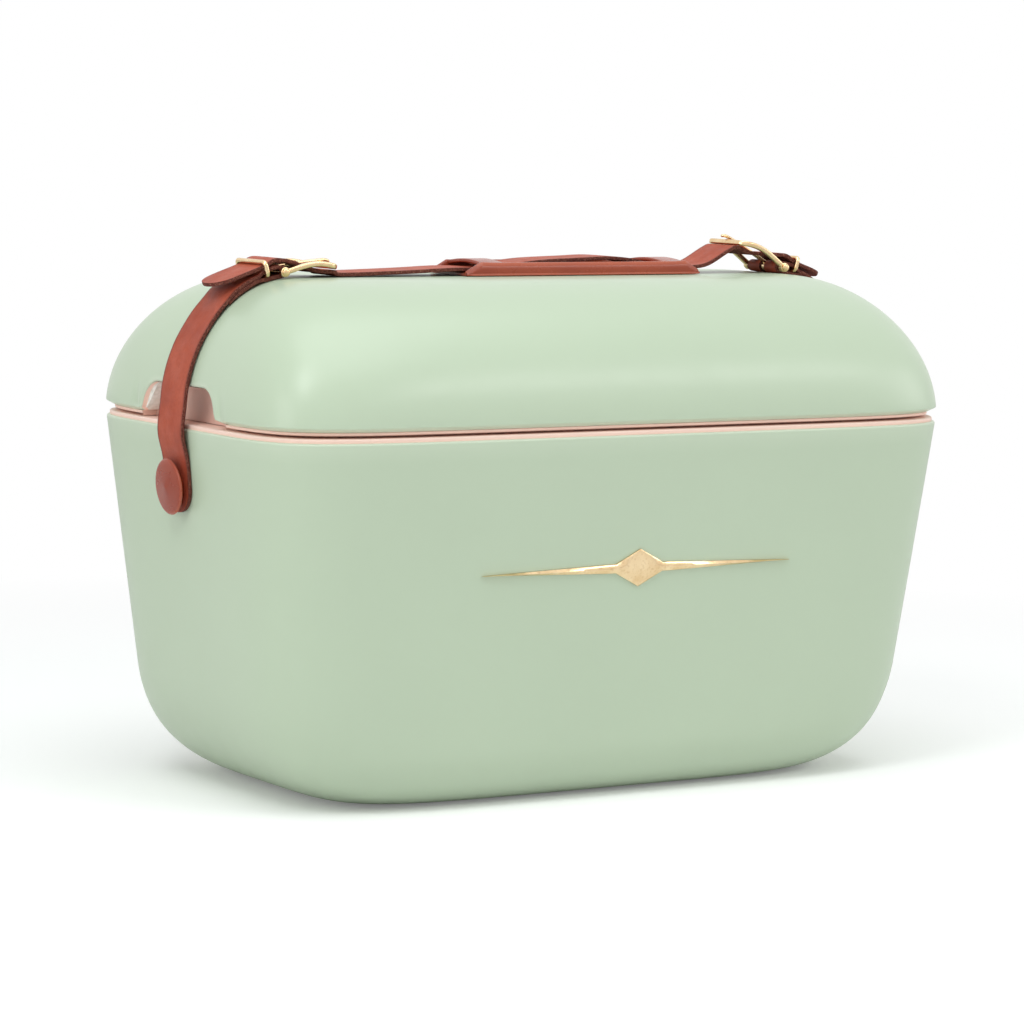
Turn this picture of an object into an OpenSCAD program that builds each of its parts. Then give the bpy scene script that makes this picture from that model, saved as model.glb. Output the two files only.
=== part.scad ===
// Picnic cool box with a lift-off domed lid, carried by a buckled leather strap.
// Origin: on the floor under the middle of the box. X runs along its length, Y to the back, Z up.

/* [Box] */
// Length of the box at the seam between tub and lid
box_len = 380; // [340:5:440]
// Depth of the box at the seam
box_dep = 222; // [200:2:260]
// Height of the tub's rim above the floor
rim_z = 176; // [150:1:220]
// Height of the lid, from its widest line to its flat top
dome_h = 62.8; // [55:0.5:80]
// Thickness of the insulated wall of the tub
wall = 22; // [18:0.5:28]
// Thickness of the green outer skins
skin = 2.5; // [2:0.1:3.5]
// Thickness of the pink liners
liner = 2; // [1.6:0.1:3]
// Inward lean of the end walls, in mm per mm of height
end_lean = 0.085; // [0.04:0.005:0.12]
// Inward lean of the front and back walls, in mm per mm of height
side_lean = 0.105; // [0.04:0.005:0.13]
// Radius under the two ends
end_round = 58; // [45:1:70]
// Radius under the front and the back
side_round = 31; // [27:1:40]
// Squareness of the plan at the seam, as a superellipse exponent
plan_n = 7; // [5:0.25:9]

/* [Seam] */
// Thickness of the liner's rim where it lies on the outer skin
rim_t = 2; // [1.5:0.1:3]
// Gap between the tub's rim and the lid at the outside
shadow_gap = 1.2; // [0.8:0.1:2]
// Gap between the lid's seat and the tub's rim
seat_gap = 0.3; // [0.2:0.05:0.5]
// How far the lid's locating skirt reaches into the tub
skirt_h = 12; // [8:1:20]
// Height of the bevel along the lid's lower edge
bevel_h = 2; // [1:0.1:3]
// Depth of that bevel, inwards
bevel_in = 3.4; // [2:0.1:4]

/* [Finger pockets] */
// Width of a finger pocket at its foot
pocket_foot = 80; // [60:1:100]
// Width of a finger pocket at its flat top
pocket_top = 34; // [25:1:50]
// Height of a finger pocket above the lid's widest line
pocket_h = 14.5; // [10:0.5:20]
// Depth of a finger pocket from the end of the lid
pocket_in = 13; // [8:0.5:15]

/* [Strap] */
// Width of the leather strap
strap_w = 25; // [20:0.5:30]
// Thickness of the leather
strap_t = 1.8; // [1.4:0.1:2.4]
// Height of the strap studs above the floor
stud_z = 147; // [130:1:150]
// Radius of a stud's head
head_r = 13.8; // [12:0.1:16]
// Radius of a stud's shank
shank_r = 4; // [3:0.1:5]
// Distance of each buckle pin from the end of the box
pin_in = 48; // [40:1:60]
// Radius of a buckle pin
pin_r = 1.1; // [0.9:0.05:1.5]
// Running clearance of frame and prong on the pin
pin_fit = 0.08; // [0.03:0.01:0.1]
// Length of a buckle frame, from pin to the middle of its outer bar
frame_len = 26; // [24:0.5:30]
// Thickness of a buckle frame
frame_t = 2.2; // [1.8:0.1:2.6]
// Rise of a buckle frame's curve above its straight chord
frame_bow = 2; // [0.5:0.1:3]
// Tilt of the left buckle frame at rest, in degrees
tilt_left = 5; // [0:1:10]
// Tilt of the right buckle frame at rest, in degrees
tilt_right = 28; // [20:1:32]
// Diameter of the wire of a keeper
keeper_wire = 2.2; // [1.8:0.1:2.6]
// Length of the strap's free tail beyond the keeper
tail_len = 26; // [20:1:34]
// Droop of the free tail, in degrees
tail_droop = 19; // [16:1:24]
// Distance of each strap rivet from its keeper, along the box
rivet_dx = 9; // [8:0.5:12]

/* [Grip] */
// Length of the moulded grip
grip_len = 134; // [110:2:150]
// Width of the moulded grip
grip_w = 45; // [38:1:52]
// Height of the grip's side rims
grip_h = 7.4; // [6.5:0.1:9]
// Distance of the grip's middle from the middle of the box
grip_x = 20; // [-5:1:25]

/* [Badge] */
// Length of the plain trim badge on the front
badge_len = 172; // [120:2:200]
// Height of the middle of the badge above the floor
badge_z = 111; // [90:1:125]
// Thickness of the badge
badge_t = 1.6; // [1.2:0.1:3]

/* [Hidden] */

green = [0.74, 0.82, 0.71];
pink = [0.95, 0.81, 0.77];
white = [0.95, 0.95, 0.93];
brown = [0.56, 0.29, 0.23];
gold = [0.86, 0.72, 0.46];
steel = [0.7, 0.7, 0.72];

slack = 0.3;                 // clearance of a part at rest on its seat
touch = 0.1;                 // play between leather and metal that touch
ends = 90;                   // degrees in a quarter turn
plan_steps = 10;             // points in each quarter of a plan section
plan_n_foot = 5.2;           // squareness of the plan at the floor
plan_n_top = 4.9;            // squareness of the plan at the top of the lid
half_len = box_len / 2;
half_dep = box_dep / 2;
pin_x = half_len - pin_in;

// Seam levels, from the tub's rim upwards
tub_edge_z = rim_z - rim_t;                     // top of the outer skin of the tub
edge_bevel = 1.2;                               // bevel of that top edge
rim_inset = 1.4;                                // the liner's rim starts this far inside the skin
rim_soft = 0.8;                                 // rounding of the rim's outer edge
flange_z = rim_z + shadow_gap;                  // underside of the lid's flange
flange_t = 1.5;
lid_edge_z = flange_z + flange_t;               // lower edge of the lid's outer skin
lid_z = lid_edge_z + bevel_h;                   // widest line of the lid
lid_top_z = lid_z + dome_h;
seat_z = rim_z + seat_gap;
seat_out = 9;                                   // the lid's seat starts this far inside the outer surface
skirt_gap = 1.4;                                // play of the skirt in the tub's mouth
lid_wall = wall + skirt_gap;                    // outer face of the skirt, and back of the lid's liner
shoulder_x = 54;                                // reach of the lid's elliptical shoulder along X
shoulder_y = 66;                                // and along Y

// ---------- plan sections and lofts ----------

function signed_pow(v, e) = v < 0 ? -pow(-v, e) : pow(v, e);

// One plan section: half length a, half depth b, squareness n, height z
function section(a, b, n, z) = [for (i = [0 : 4 * plan_steps - 1])
    let (t = i * ends / plan_steps)
    [a * signed_pow(cos(t), 2 / n), b * signed_pow(sin(t), 2 / n), z]];

// A solid through a list of plan sections, closed flat at the first and the last
module loft(sections) {
    m = 4 * plan_steps;
    last = len(sections) - 1;
    points = [for (s = sections) for (p = s) p];
    sides = [for (k = [0 : last - 1]) for (i = [0 : m - 1])
        let (j = (i + 1) % m, a = k * m + i, b = k * m + j, c = a + m, d = b + m)
        each sections[k][0][2] < sections[k + 1][0][2] ? [[a, c, b], [b, c, d]]
                                                      : [[a, c, d], [a, d, b]]];
    first_end = [for (i = [0 : m - 1]) i];
    last_end = [for (i = [m - 1 : -1 : 0]) last * m + i];
    polyhedron(points = points, faces = concat([first_end], sides, [last_end]));
}

// Half width of the tub at height z, inside a wall of depth d: a leaning wall with a rounded foot
function tub_half(top, lean, round_r, d, z) =
    let (t = atan(lean),
         r = round_r - d,
         foot = top - d / cos(t) - lean * (rim_z - (d + r)) - r / cos(t),
         z_tangent = d + r * (1 - sin(t)))
    z >= z_tangent ? top - d / cos(t) - lean * (rim_z - z)
                   : foot + sqrt(max(0, r * r - pow(r - (z - d), 2)));

function tub_section(d, z) = section(
    tub_half(half_len, end_lean, end_round, d, z),
    tub_half(half_dep, side_lean, side_round, d, z),
    plan_n_foot + (plan_n - plan_n_foot) * z / rim_z, z);

// Heights of the tub's sections inside a wall of depth d, from its floor up to z_top
foot_steps = 7;
function tub_levels(d, z_top) = concat(
    [for (i = [0 : foot_steps]) d + (end_round - d) * (1 - cos(i * ends / foot_steps))],
    [for (i = [1 : 3]) end_round + (z_top - end_round) * i / 3]);

// Section of the lid inside a wall of depth d, at the angle t up its elliptical shoulder
function lid_section(d, t) = section(
    half_len - shoulder_x + (shoulder_x - d) * cos(t),
    half_dep - shoulder_y + (shoulder_y - d) * cos(t),
    plan_n + (plan_n_top - plan_n) * sin(t),
    lid_z + (dome_h - d) * sin(t));
dome_steps = 9;
function dome(d) = [for (i = [0 : dome_steps]) lid_section(d, i * ends / dome_steps)];

// A plain section at the seam, inset by d
function seam_section(d, z) = section(half_len - d, half_dep - d, plan_n, z);

function reversed(v) = [for (i = [len(v) - 1 : -1 : 0]) v[i]];

// ---------- places ----------

stud_lean = atan(end_lean);
stud_x = half_len - end_lean * (rim_z - stud_z);   // outer face of the end wall at the stud

// Puts children on the end wall, +X pointing out along the stud
module at_stud(side) {
    mirror([side < 0 ? 1 : 0, 0, 0]) translate([stud_x, 0, stud_z]) rotate([0, stud_lean, 0]) children();
}

module along_x(r, x0, x1) {
    translate([x0, 0, 0]) rotate([0, 90, 0]) cylinder(h = x1 - x0, r = r, $fn = 48);
}

module along_y(r, half) {
    rotate([90, 0, 0]) cylinder(h = 2 * half, r = r, center = true, $fn = 48);
}

// ---------- tub ----------

boss_r = 9;
boss_len = 8;
nut_af = 13;
nut_t = 5;
nut_room = 1;

module tub_shell() {
    color(green) difference() {
        union() {
            loft(concat(
                [for (z = tub_levels(0, tub_edge_z - edge_bevel)) tub_section(0, z)],
                [tub_section(edge_bevel, tub_edge_z)],
                reversed([for (z = tub_levels(skin, tub_edge_z)) tub_section(skin, z)])));
            for (side = [-1, 1])
                at_stud(side) along_x(boss_r, -skin - boss_len, -skin / 2);
        }
        for (side = [-1, 1])
            at_stud(side) along_x(shank_r + slack, -skin - boss_len - 1, 1);
        base_recess();
    }
}

// Shallow recess under the tub, so that it stands on a band round its foot
recess_h = 1;
band_w = 16;
module base_recess() {
    a = tub_half(half_len, end_lean, end_round, 0, 0) - band_w;
    b = tub_half(half_dep, side_lean, side_round, 0, 0) - band_w;
    loft([section(a + recess_h, b + recess_h, plan_n_foot, -recess_h),
          section(a - recess_h, b - recess_h, plan_n_foot, recess_h)]);
}

module tub_foam() {
    back = wall - liner;
    color(white) difference() {
        loft(concat(
            [for (z = tub_levels(skin, tub_edge_z)) tub_section(skin, z)],
            reversed([for (z = tub_levels(back, tub_edge_z)) tub_section(back, z)])));
        for (side = [-1, 1])
            at_stud(side) along_x(boss_r + nut_room, -skin - boss_len - nut_t - 2 * nut_room, 0);
    }
}

module tub_liner() {
    back = wall - liner;
    color(pink) loft(concat(
        [for (z = tub_levels(back, tub_edge_z)) tub_section(back, z)],
        [tub_section(rim_inset, tub_edge_z), tub_section(rim_inset, rim_z - rim_soft),
         tub_section(rim_inset + rim_soft, rim_z), tub_section(wall, rim_z)],
        reversed([for (z = tub_levels(wall, rim_z - rim_soft)) tub_section(wall, z)])));
}

// Stud: shank through the strap and the end wall, collar and a shallow conical head
shank_x0 = -skin - boss_len - nut_t - nut_room;    // inner end of the shank, behind its nut
collar_r = 8;
collar_x0 = slack + strap_t + 0.2;
head_x0 = collar_x0 + 4.5;
head_x1 = head_x0 + 1.8;
head_cone = 1.4;

module strap_stud() {
    rotate([0, 90, 0]) rotate_extrude($fn = 64) polygon([
        [0, shank_x0], [shank_r, shank_x0], [shank_r, collar_x0],
        [collar_r, collar_x0], [collar_r, head_x0 - 0.8], [collar_r + 2, head_x0], [head_r - 0.5, head_x0],
        [head_r, head_x0 + 0.5], [head_r, head_x1 - 0.6], [head_r - 0.6, head_x1], [0, head_x1 + head_cone]]);
}

module strap_studs() {
    color(brown) for (side = [-1, 1]) at_stud(side) strap_stud();
}

module stud_nuts() {
    color(steel) for (side = [-1, 1]) at_stud(side)
        translate([-skin - boss_len - nut_t, 0, 0]) rotate([0, 90, 0]) difference() {
            cylinder(h = nut_t, d = nut_af / cos(30), $fn = 6);
            translate([0, 0, -1]) cylinder(h = nut_t + 2, r = shank_r + 0.05, $fn = 48);
        }
}

// Plain trim badge: a long tapered bar with two short bars and a lozenge
bar_h = 4.2;
lozenge_w = 34;
lozenge_h = 18;
module badge_outline() {
    tip = badge_len / 2;
    polygon([[-tip, 0], [-lozenge_w / 2, -bar_h / 2], [lozenge_w / 2, -bar_h / 2], [tip, 0],
             [lozenge_w / 2, bar_h / 2], [-lozenge_w / 2, bar_h / 2]]);
    polygon([[-lozenge_w / 2, 0], [0, -lozenge_h / 2], [lozenge_w / 2, 0], [0, lozenge_h / 2]]);
}
module front_badge() {
    face_y = tub_half(half_dep, side_lean, side_round, 0, badge_z);
    color(gold) translate([0, -face_y, badge_z]) rotate([90 + atan(side_lean), 0, 0])
        translate([0, 0, touch]) linear_extrude(badge_t) badge_outline();
}

// ---------- lid ----------

// Bell-shaped outline of a finger pocket, grown outwards by g; y across, z up from the tub's rim
bell_steps = 8;
function bell_side(g, side, from, to) = [for (i = [from : sign(to - from) : to]) let (s = i / bell_steps)
    [side * (pocket_foot / 2 + g - (pocket_foot - pocket_top) / 2 * s),
     lid_edge_z + (lid_z + pocket_h + g - lid_edge_z) * (1 - cos(2 * ends * s)) / 2]];
function bell(g) = concat(
    [[-(pocket_foot / 2 + g), rim_z - g]],
    bell_side(g, -1, 0, bell_steps),
    bell_side(g, 1, bell_steps, 0),
    [[pocket_foot / 2 + g, rim_z - g]]);

// Prism of the pocket's outline from x0 to x1, at both ends of the lid
module pocket_prisms(g, x0, x1) {
    for (side = [-1, 1])
        mirror([side < 0 ? 1 : 0, 0, 0]) translate([x0, 0, 0]) rotate([90, 0, 90])
            linear_extrude(x1 - x0) polygon(bell(g));
}

module lid_shell() {
    color(green) difference() {
        loft(concat(
            reversed(dome(skin)),
            [seam_section(bevel_in + skin, lid_edge_z), seam_section(bevel_in, lid_edge_z)],
            dome(0)));
        pocket_prisms(0, half_len - pocket_in - 2 * liner, half_len + 5);
    }
}

module lid_foam() {
    color(white) difference() {
        loft(concat(
            reversed(dome(lid_wall)),
            [seam_section(lid_wall, lid_edge_z), seam_section(bevel_in + skin, lid_edge_z)],
            dome(skin)));
        pocket_prisms(liner, half_len - pocket_in - liner, half_len + 5);
    }
}

module lid_liner() {
    cavity = lid_wall + liner;
    skirt_z = rim_z - skirt_h;
    flange_out = bevel_in + 0.2;
    color(pink) {
        difference() {
            loft(concat(
                reversed(dome(cavity)),
                [tub_section(cavity, skirt_z + 1), tub_section(cavity - liner / 2, skirt_z),
                 tub_section(lid_wall, skirt_z + 1), seam_section(lid_wall, seat_z),
                 seam_section(seat_out, seat_z), seam_section(seat_out - 1, flange_z),
                 seam_section(flange_out, flange_z), seam_section(flange_out, lid_edge_z),
                 seam_section(lid_wall, lid_edge_z)],
                dome(lid_wall)));
            pocket_prisms(0, half_len - pocket_in, half_len + 5);
        }
        pocket_wall();
    }
}

// The liner's own wall round each finger pocket, which ends inside the lid's outer skin
module pocket_wall() {
    intersection() {
        difference() {
            pocket_prisms(liner, half_len - pocket_in - liner, half_len + 5);
            pocket_prisms(0, half_len - pocket_in, half_len + 6);
        }
        loft(concat(
            [seam_section(bevel_in + skin, flange_z), seam_section(bevel_in + skin, lid_edge_z)],
            dome(skin)));
    }
}

// ---------- strap ----------

// Side view of the strap: a band of leather along a line of points [x, z]
function unit(v) = v / norm(v);
function turn(v) = [-v[1], v[0]];
function tangent(p, i) = unit(p[min(i + 1, len(p) - 1)] - p[max(i - 1, 0)]);
function band(p, t) = concat(
    [for (i = [0 : len(p) - 1]) p[i] + turn(tangent(p, i)) * t / 2],
    [for (i = [len(p) - 1 : -1 : 0]) p[i] - turn(tangent(p, i)) * t / 2]);

// A smooth line through points, with k steps between neighbours
function spline_at(a, b, c, d, t) = 0.5 * ((2 * b) + (c - a) * t + (2 * a - 5 * b + 4 * c - d) * t * t
    + (3 * b - a - 3 * c + d) * t * t * t);
function spline(p, k) = concat([for (i = [0 : len(p) - 2]) for (j = [0 : k - 1])
    spline_at(p[max(i - 1, 0)], p[i], p[i + 1], p[min(i + 2, len(p) - 1)], j / k)], [p[len(p) - 1]]);

// Point of the lid's outline in the plane y = 0 at the shoulder angle t, raised by off along its normal
function lid_point(t, off) = [half_len - shoulder_x + shoulder_x * cos(t), lid_z + dome_h * sin(t)]
    + off * unit([cos(t) / shoulder_x, sin(t) / dome_h]);

// Shoulder angle and outline height under the point x
function shoulder_at(x) = x > half_len - shoulder_x ? acos((x - half_len + shoulder_x) / shoulder_x) : 90;
function lid_height(x) = lid_z + dome_h * sin(shoulder_at(x));

wrap_in = pin_r + 0.15;                      // inside radius of the leather round the pin
wrap_mid = wrap_in + strap_t / 2;
wrap_out = wrap_in + strap_t;
pin_z = lid_height(pin_x) + slack + wrap_out;
keeper_dx = 9;                               // distance of each keeper from its pin
keeper_x = pin_x + keeper_dx;
keeper_t = shoulder_at(keeper_x);            // shoulder angle under the keeper
flap_off = slack + strap_t / 2;              // middle of the folded flap above the lid
keeper_low = slack + strap_t + touch + keeper_wire / 2;
strap_off = keeper_low + keeper_wire / 2 + touch + strap_t / 2;
tail_off = strap_off + strap_t + 2 * touch;
keeper_high = tail_off + strap_t / 2 + touch + keeper_wire / 2;
rest_off = 1.3 + strap_t / 2;                // middle of the strap above the lid's shoulder

// Rivet through strap and flap: back plate, shank and domed cap
plate_t = 0.8;
plate_r = 3.4;
cap_t = 0.7;
cap_r = 4;
cap_rise = 0.6;
rivet_shank_r = 1.5;
rivet_t = shoulder_at(keeper_x + rivet_dx);
flap_at_rivet = slack + plate_t + strap_t / 2;
strap_at_rivet = flap_at_rivet + strap_t + touch;

// Line of a side strap for the right-hand end, from its foot at the stud up to the pin
function wall_point(z, off) = [half_len - end_lean * (rim_z - z), z] + off * [cos(stud_lean), -sin(stud_lean)];
flap_end = 6;                                // degrees of shoulder that the flap runs on beyond the rivet
lie = 0.2;                                   // extra room under the leather where it curves
climb = [4, 9, 22];                          // degrees: first point on the shoulder, step, end of the even part
settle = [12, 3];                            // degrees beyond the flap where the strap lies down
settle_off = 0.5;                            // and how far it stands off there
near_rivet = 4;                              // degrees from the rivet to the next point
wall_top = [4, 2.2];                         // the strap leaves the wall this far below the rim, and off it
fold_dx = [2.5, 4];                          // distance from the pin where strap and flap begin to part
function side_line() = concat(
    [wall_point(stud_z - strap_w / 2, flap_off), wall_point(stud_z, flap_off),
     wall_point(stud_z + strap_w / 2, flap_off + lie),
     wall_point(rim_z - wall_top[0], wall_top[1] + strap_t / 2)],
    [for (t = [climb[0] : climb[1] : rivet_t - flap_end - climb[2]]) lid_point(t, rest_off)],
    [lid_point(rivet_t - flap_end - settle[0], rest_off + settle_off),
     lid_point(rivet_t - flap_end - settle[1], strap_at_rivet),
     lid_point(rivet_t, strap_at_rivet), lid_point(rivet_t + near_rivet, strap_at_rivet + touch / 2),
     lid_point(keeper_t, strap_off), [pin_x + fold_dx[0], pin_z + wrap_mid - touch]]);
wrap_step = 15;                              // degrees between points of the leather round the pin
function wrap_line() = [for (a = [ends : wrap_step : 3 * ends])
    [pin_x, pin_z] + wrap_mid * [cos(a), sin(a)]];
function flap_line() = [[pin_x, pin_z - wrap_mid], lid_point(shoulder_at(pin_x + fold_dx[1]), flap_off),
    lid_point(keeper_t, flap_off), lid_point(rivet_t + near_rivet, flap_at_rivet),
    lid_point(rivet_t, flap_at_rivet), lid_point(rivet_t - flap_end, flap_at_rivet + lie)];

// A length of leather: the side view of its line, as wide as the strap
module strap_body(line, w) {
    rotate([90, 0, 0]) linear_extrude(w, center = true) polygon(band(line, strap_t));
}

// Puts children on the lid's shoulder at the angle t, with +Z along its normal
module on_shoulder(t) {
    p = lid_point(t, 0);
    translate([p[0], 0, p[1]]) rotate([0, slope_at(t), 0]) children();
}

prong_w = 3.2;
module side_strap(side) {
    reach = 60;
    mirror([side < 0 ? 1 : 0, 0, 0]) color(brown) difference() {
        intersection() {
            union() {
                strap_body(concat(spline(side_line(), 3), wrap_line()), strap_w + 2);
                strap_body(spline(flap_line(), 3), strap_w + 2);
            }
            union() {
                translate([0, -strap_w / 2, stud_z]) cube([2 * half_len, strap_w, lid_top_z]);
                translate([stud_x, 0, stud_z]) rotate([0, stud_lean, 0]) along_x(strap_w / 2, -reach, reach);
            }
        }
        translate([stud_x, 0, stud_z]) rotate([0, stud_lean, 0]) along_x(shank_r + slack, -reach, reach);
        on_shoulder(rivet_t) cylinder(h = 4 * strap_t, r = rivet_shank_r + touch, $fn = 48);
        translate([pin_x - 2 * wrap_out, -prong_w / 2 - 0.5, pin_z - 2 * wrap_out])
            cube([2 * wrap_out + 4, prong_w + 1, 4 * wrap_out]);
    }
}

module strap_rivet(side) {
    top = strap_at_rivet + strap_t / 2 + touch;
    plate = slack + plate_t - touch;
    cap_steps = 5;
    mirror([side < 0 ? 1 : 0, 0, 0]) color(gold) on_shoulder(rivet_t) rotate_extrude($fn = 64) polygon(concat(
        [[0, slack - touch], [plate_r, slack - touch], [plate_r, plate],
         [rivet_shank_r, plate], [rivet_shank_r, top], [cap_r, top]],
        [for (i = [0 : cap_steps]) let (a = i * ends / cap_steps)
            [cap_r * cos(a), top + cap_t + cap_rise * sin(a)]]));
}

// ---------- buckles: pin, frame and prong, drawn with the pin at the origin and the frame along -X ----------

frame_in = strap_w / 2 + 1.1;                // half width inside the frame
arm_w = 3;
frame_out = frame_in + arm_w;
eye_r = pin_r + 1.25;
pin_half = frame_out + 1.2;

module at_pin(side, tilt) {
    mirror([side < 0 ? 1 : 0, 0, 0]) translate([pin_x, 0, pin_z]) rotate([0, tilt, 0]) children();
}

module buckle_pin(side) {
    color(gold) at_pin(side, 0) {
        along_y(pin_r, pin_half);
        for (end = [-1, 1]) translate([0, end * (frame_out + 0.7), 0]) along_y(pin_r + 0.8, 0.5);
    }
}

corner_r = 6;
module frame_outline() {
    difference() {
        union() {
            translate([-frame_len - arm_w / 2 + corner_r, -frame_out])
                square([frame_len + arm_w / 2 - corner_r, 2 * frame_out]);
            translate([-frame_len - arm_w / 2, -frame_out + corner_r])
                square([2 * corner_r, 2 * (frame_out - corner_r)]);
            for (end = [-1, 1])
                translate([-frame_len - arm_w / 2 + corner_r, end * (frame_out - corner_r)])
                    circle(corner_r, $fn = 32);
        }
        translate([-frame_len + arm_w / 2, -frame_in]) square([frame_len + 10, 2 * frame_in]);
    }
}

// Side view of the frame: an arc through the pin and the outer bar, risen by frame_bow
bow_r = (frame_len * frame_len / 4 + frame_bow * frame_bow) / (2 * frame_bow);
bow_angle = asin(frame_len / 2 / bow_r);     // slope of the arc at its two ends
module frame_curve() {
    rotate([90, 0, 0]) translate([-frame_len / 2, frame_bow - bow_r, -frame_out - 1]) difference() {
        cylinder(h = 2 * frame_out + 2, r = bow_r + frame_t / 2, $fn = 180);
        translate([0, 0, -1]) cylinder(h = 2 * frame_out + 4, r = bow_r - frame_t / 2, $fn = 180);
    }
}

module buckle_frame(side, tilt) {
    color(gold) at_pin(side, tilt) difference() {
        union() {
            intersection() {
                translate([0, 0, -frame_len / 2]) linear_extrude(frame_len) frame_outline();
                frame_curve();
            }
            for (end = [-1, 1]) translate([0, end * (frame_out - arm_w / 2), 0]) along_y(eye_r, arm_w / 2);
        }
        along_y(pin_r + pin_fit, pin_half + 1);
    }
}

// Prong: an eye round the pin and a tapering finger that rests on the frame's outer bar
prong_t = 1.6;
prong_eye_r = pin_r + 1.2;
prong_lift = frame_t / 2 + arm_w / 2 * tan(bow_angle) + touch + prong_t / 2;
function prong_line() = [[0, prong_eye_r - prong_t / 2 - 0.1], [-6, prong_lift - 1], [-frame_len, prong_lift],
                         [-frame_len - 2.4, prong_lift - 0.3], [-frame_len - 3.8, prong_lift - 1.3]];
module buckle_prong(side, tilt) {
    color(gold) at_pin(side, tilt) difference() {
        union() {
            along_y(prong_eye_r, prong_w / 2);
            rotate([90, 0, 0]) linear_extrude(prong_w, center = true) polygon(band(prong_line(), prong_t));
        }
        along_y(pin_r + pin_fit, prong_w);
    }
}

keeper_play = 0.5;
// Keeper: a wire loop round the strap and the tail, held in the strap's fold
module strap_keeper(side) {
    half_w = strap_w / 2 + keeper_play + keeper_wire / 2;
    mirror([side < 0 ? 1 : 0, 0, 0]) color(gold) on_shoulder(keeper_t) {
        for (h = [keeper_low, keeper_high]) translate([0, 0, h]) along_y(keeper_wire / 2, half_w);
        for (end = [-1, 1]) {
            translate([0, end * half_w, keeper_low])
                cylinder(h = keeper_high - keeper_low, d = keeper_wire, $fn = 48);
            for (h = [keeper_low, keeper_high])
                translate([0, end * half_w, h]) sphere(d = keeper_wire, $fn = 48);
        }
    }
}

// Downward slope of the lid's shoulder at the angle t, in degrees
function slope_at(t) = atan2(cos(t) / shoulder_x, sin(t) / dome_h);

// ---------- centre strap and grip ----------

grip_floor = 1.8;
grip_z = lid_top_z + slack;                       // underside of the grip
strap_in_grip = grip_z + grip_floor + slack + strap_t / 2;

// Place in the side view of a point given along the frame (u inwards from the pin, v above it)
function frame_point(tilt, u, v) =
    [pin_x - u * cos(tilt) + v * sin(tilt), pin_z + u * sin(tilt) + v * cos(tilt)];

// Line of the strap from its tail, over the pin and down under the frame's outer bar
over_pin = wrap_out + touch + strap_t / 2;
under_bar = -frame_t / 2 - slack - strap_t / 2;
arch = 1.1;                                       // rise of the strap over the pin
arch_tilt = 0.02;                                 // and its growth with each degree of the frame's tilt
over_dx = [4, -1];                                // its two points beside the pin
dip = 0.4;                                        // fall of the strap where it enters the frame
rise_from = 7;                                    // the strap starts down through the frame here
rise_to = frame_len - 9;                          // and is under the frame from here
sink = 1.2;                                       // depth of its middle below the frame's chord there
past_bar = [6, 1.4];                              // next point beyond the bar: inwards, and down
slot_u = (rise_from + rise_to) / 2;
function tail_line(tilt) =
    let (k = lid_point(keeper_t, tail_off), dir = [cos(tail_droop), -sin(tail_droop)],
         top = pin_z + over_pin + arch + tilt * arch_tilt, slope = tilt - bow_angle)
    [k + dir * tail_len, k + dir * tail_len / 2, k,
     [pin_x + over_dx[0], top], [pin_x + over_dx[1], top + tilt * arch_tilt],
     frame_point(tilt, rise_from, over_pin - dip), frame_point(tilt, rise_to, -sink),
     frame_point(tilt, frame_len, under_bar),
     frame_point(slope, frame_len, under_bar) - frame_point(slope, frame_len, 0)
         + frame_point(tilt, frame_len, 0) - past_bar];

function mirrored(p) = [for (q = p) [-q[0], q[1]]];
left_line = mirrored(tail_line(tilt_left));
right_line = reversed(tail_line(tilt_right));
left_end = left_line[len(left_line) - 1];         // where the strap leaves each frame
right_end = right_line[0];
grip_left = grip_x - grip_len / 2;
grip_right = grip_x + grip_len / 2;
bend_left = 0.41;                                 // share of the free strap where it bends, from the grip
bend_right = 0.38;
bend_rise = 0.26;                                 // share of its rise to the right frame at that bend
mouth = 3;                                        // the strap is level from this far outside the grip
level_in = [12, 16];                              // and this far inside its two ends
function centre_line() = concat(left_line,
    [[grip_left - bend_left * (grip_left - left_end[0]), strap_in_grip - 1],
     [grip_left - mouth, strap_in_grip], [grip_left + level_in[0], strap_in_grip],
     [grip_right - level_in[1], strap_in_grip], [grip_right - 1, strap_in_grip + touch],
     [grip_right + bend_right * (right_end[0] - grip_right),
      strap_in_grip + bend_rise * (right_end[1] - strap_in_grip)]],
    right_line);

hole_r = 2.1;
hole_from = 5;
hole_pitch = 11;
slot_half = 3.5;
module centre_strap() {
    color(brown) difference() {
        intersection() {
            strap_body(spline(centre_line(), 4), strap_w + 2);
            translate([0, 0, lid_z]) linear_extrude(2 * dome_h) strap_outline();
        }
        prong_hole(-1, tilt_left);
        prong_hole(1, tilt_right);
        for (side = [-1, 1]) for (k = [0 : 1]) tail_hole(side, hole_from + hole_pitch * k);
    }
}

// The strap seen from above: straight sides and tongue-shaped ends
tongue_len = 15;
tongue_steps = 8;
tongue_power = 0.9;
tip_trim = 0.5;
module strap_outline() {
    tip = lid_point(keeper_t, tail_off)[0] + tail_len * cos(tail_droop) - tip_trim;
    polygon([for (side = [1, -1]) for (i = [-tongue_steps : tongue_steps]) let (a = i * ends / tongue_steps)
        [side * (tip - tongue_len + tongue_len * pow(cos(a), tongue_power)), side * strap_w / 2 * sin(a)]]);
}

// Slot that the prong comes up through
module prong_hole(side, tilt) {
    steps = 8;
    reach = 7;
    at_pin(side, tilt) translate([-slot_u, 0, -reach]) linear_extrude(2 * reach) polygon(
        [for (end = [-1, 1]) for (i = [-steps : steps]) let (a = i * ends / steps)
            [end * (slot_half + hole_r * cos(a)), end * hole_r * sin(a)]]);
}
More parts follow.
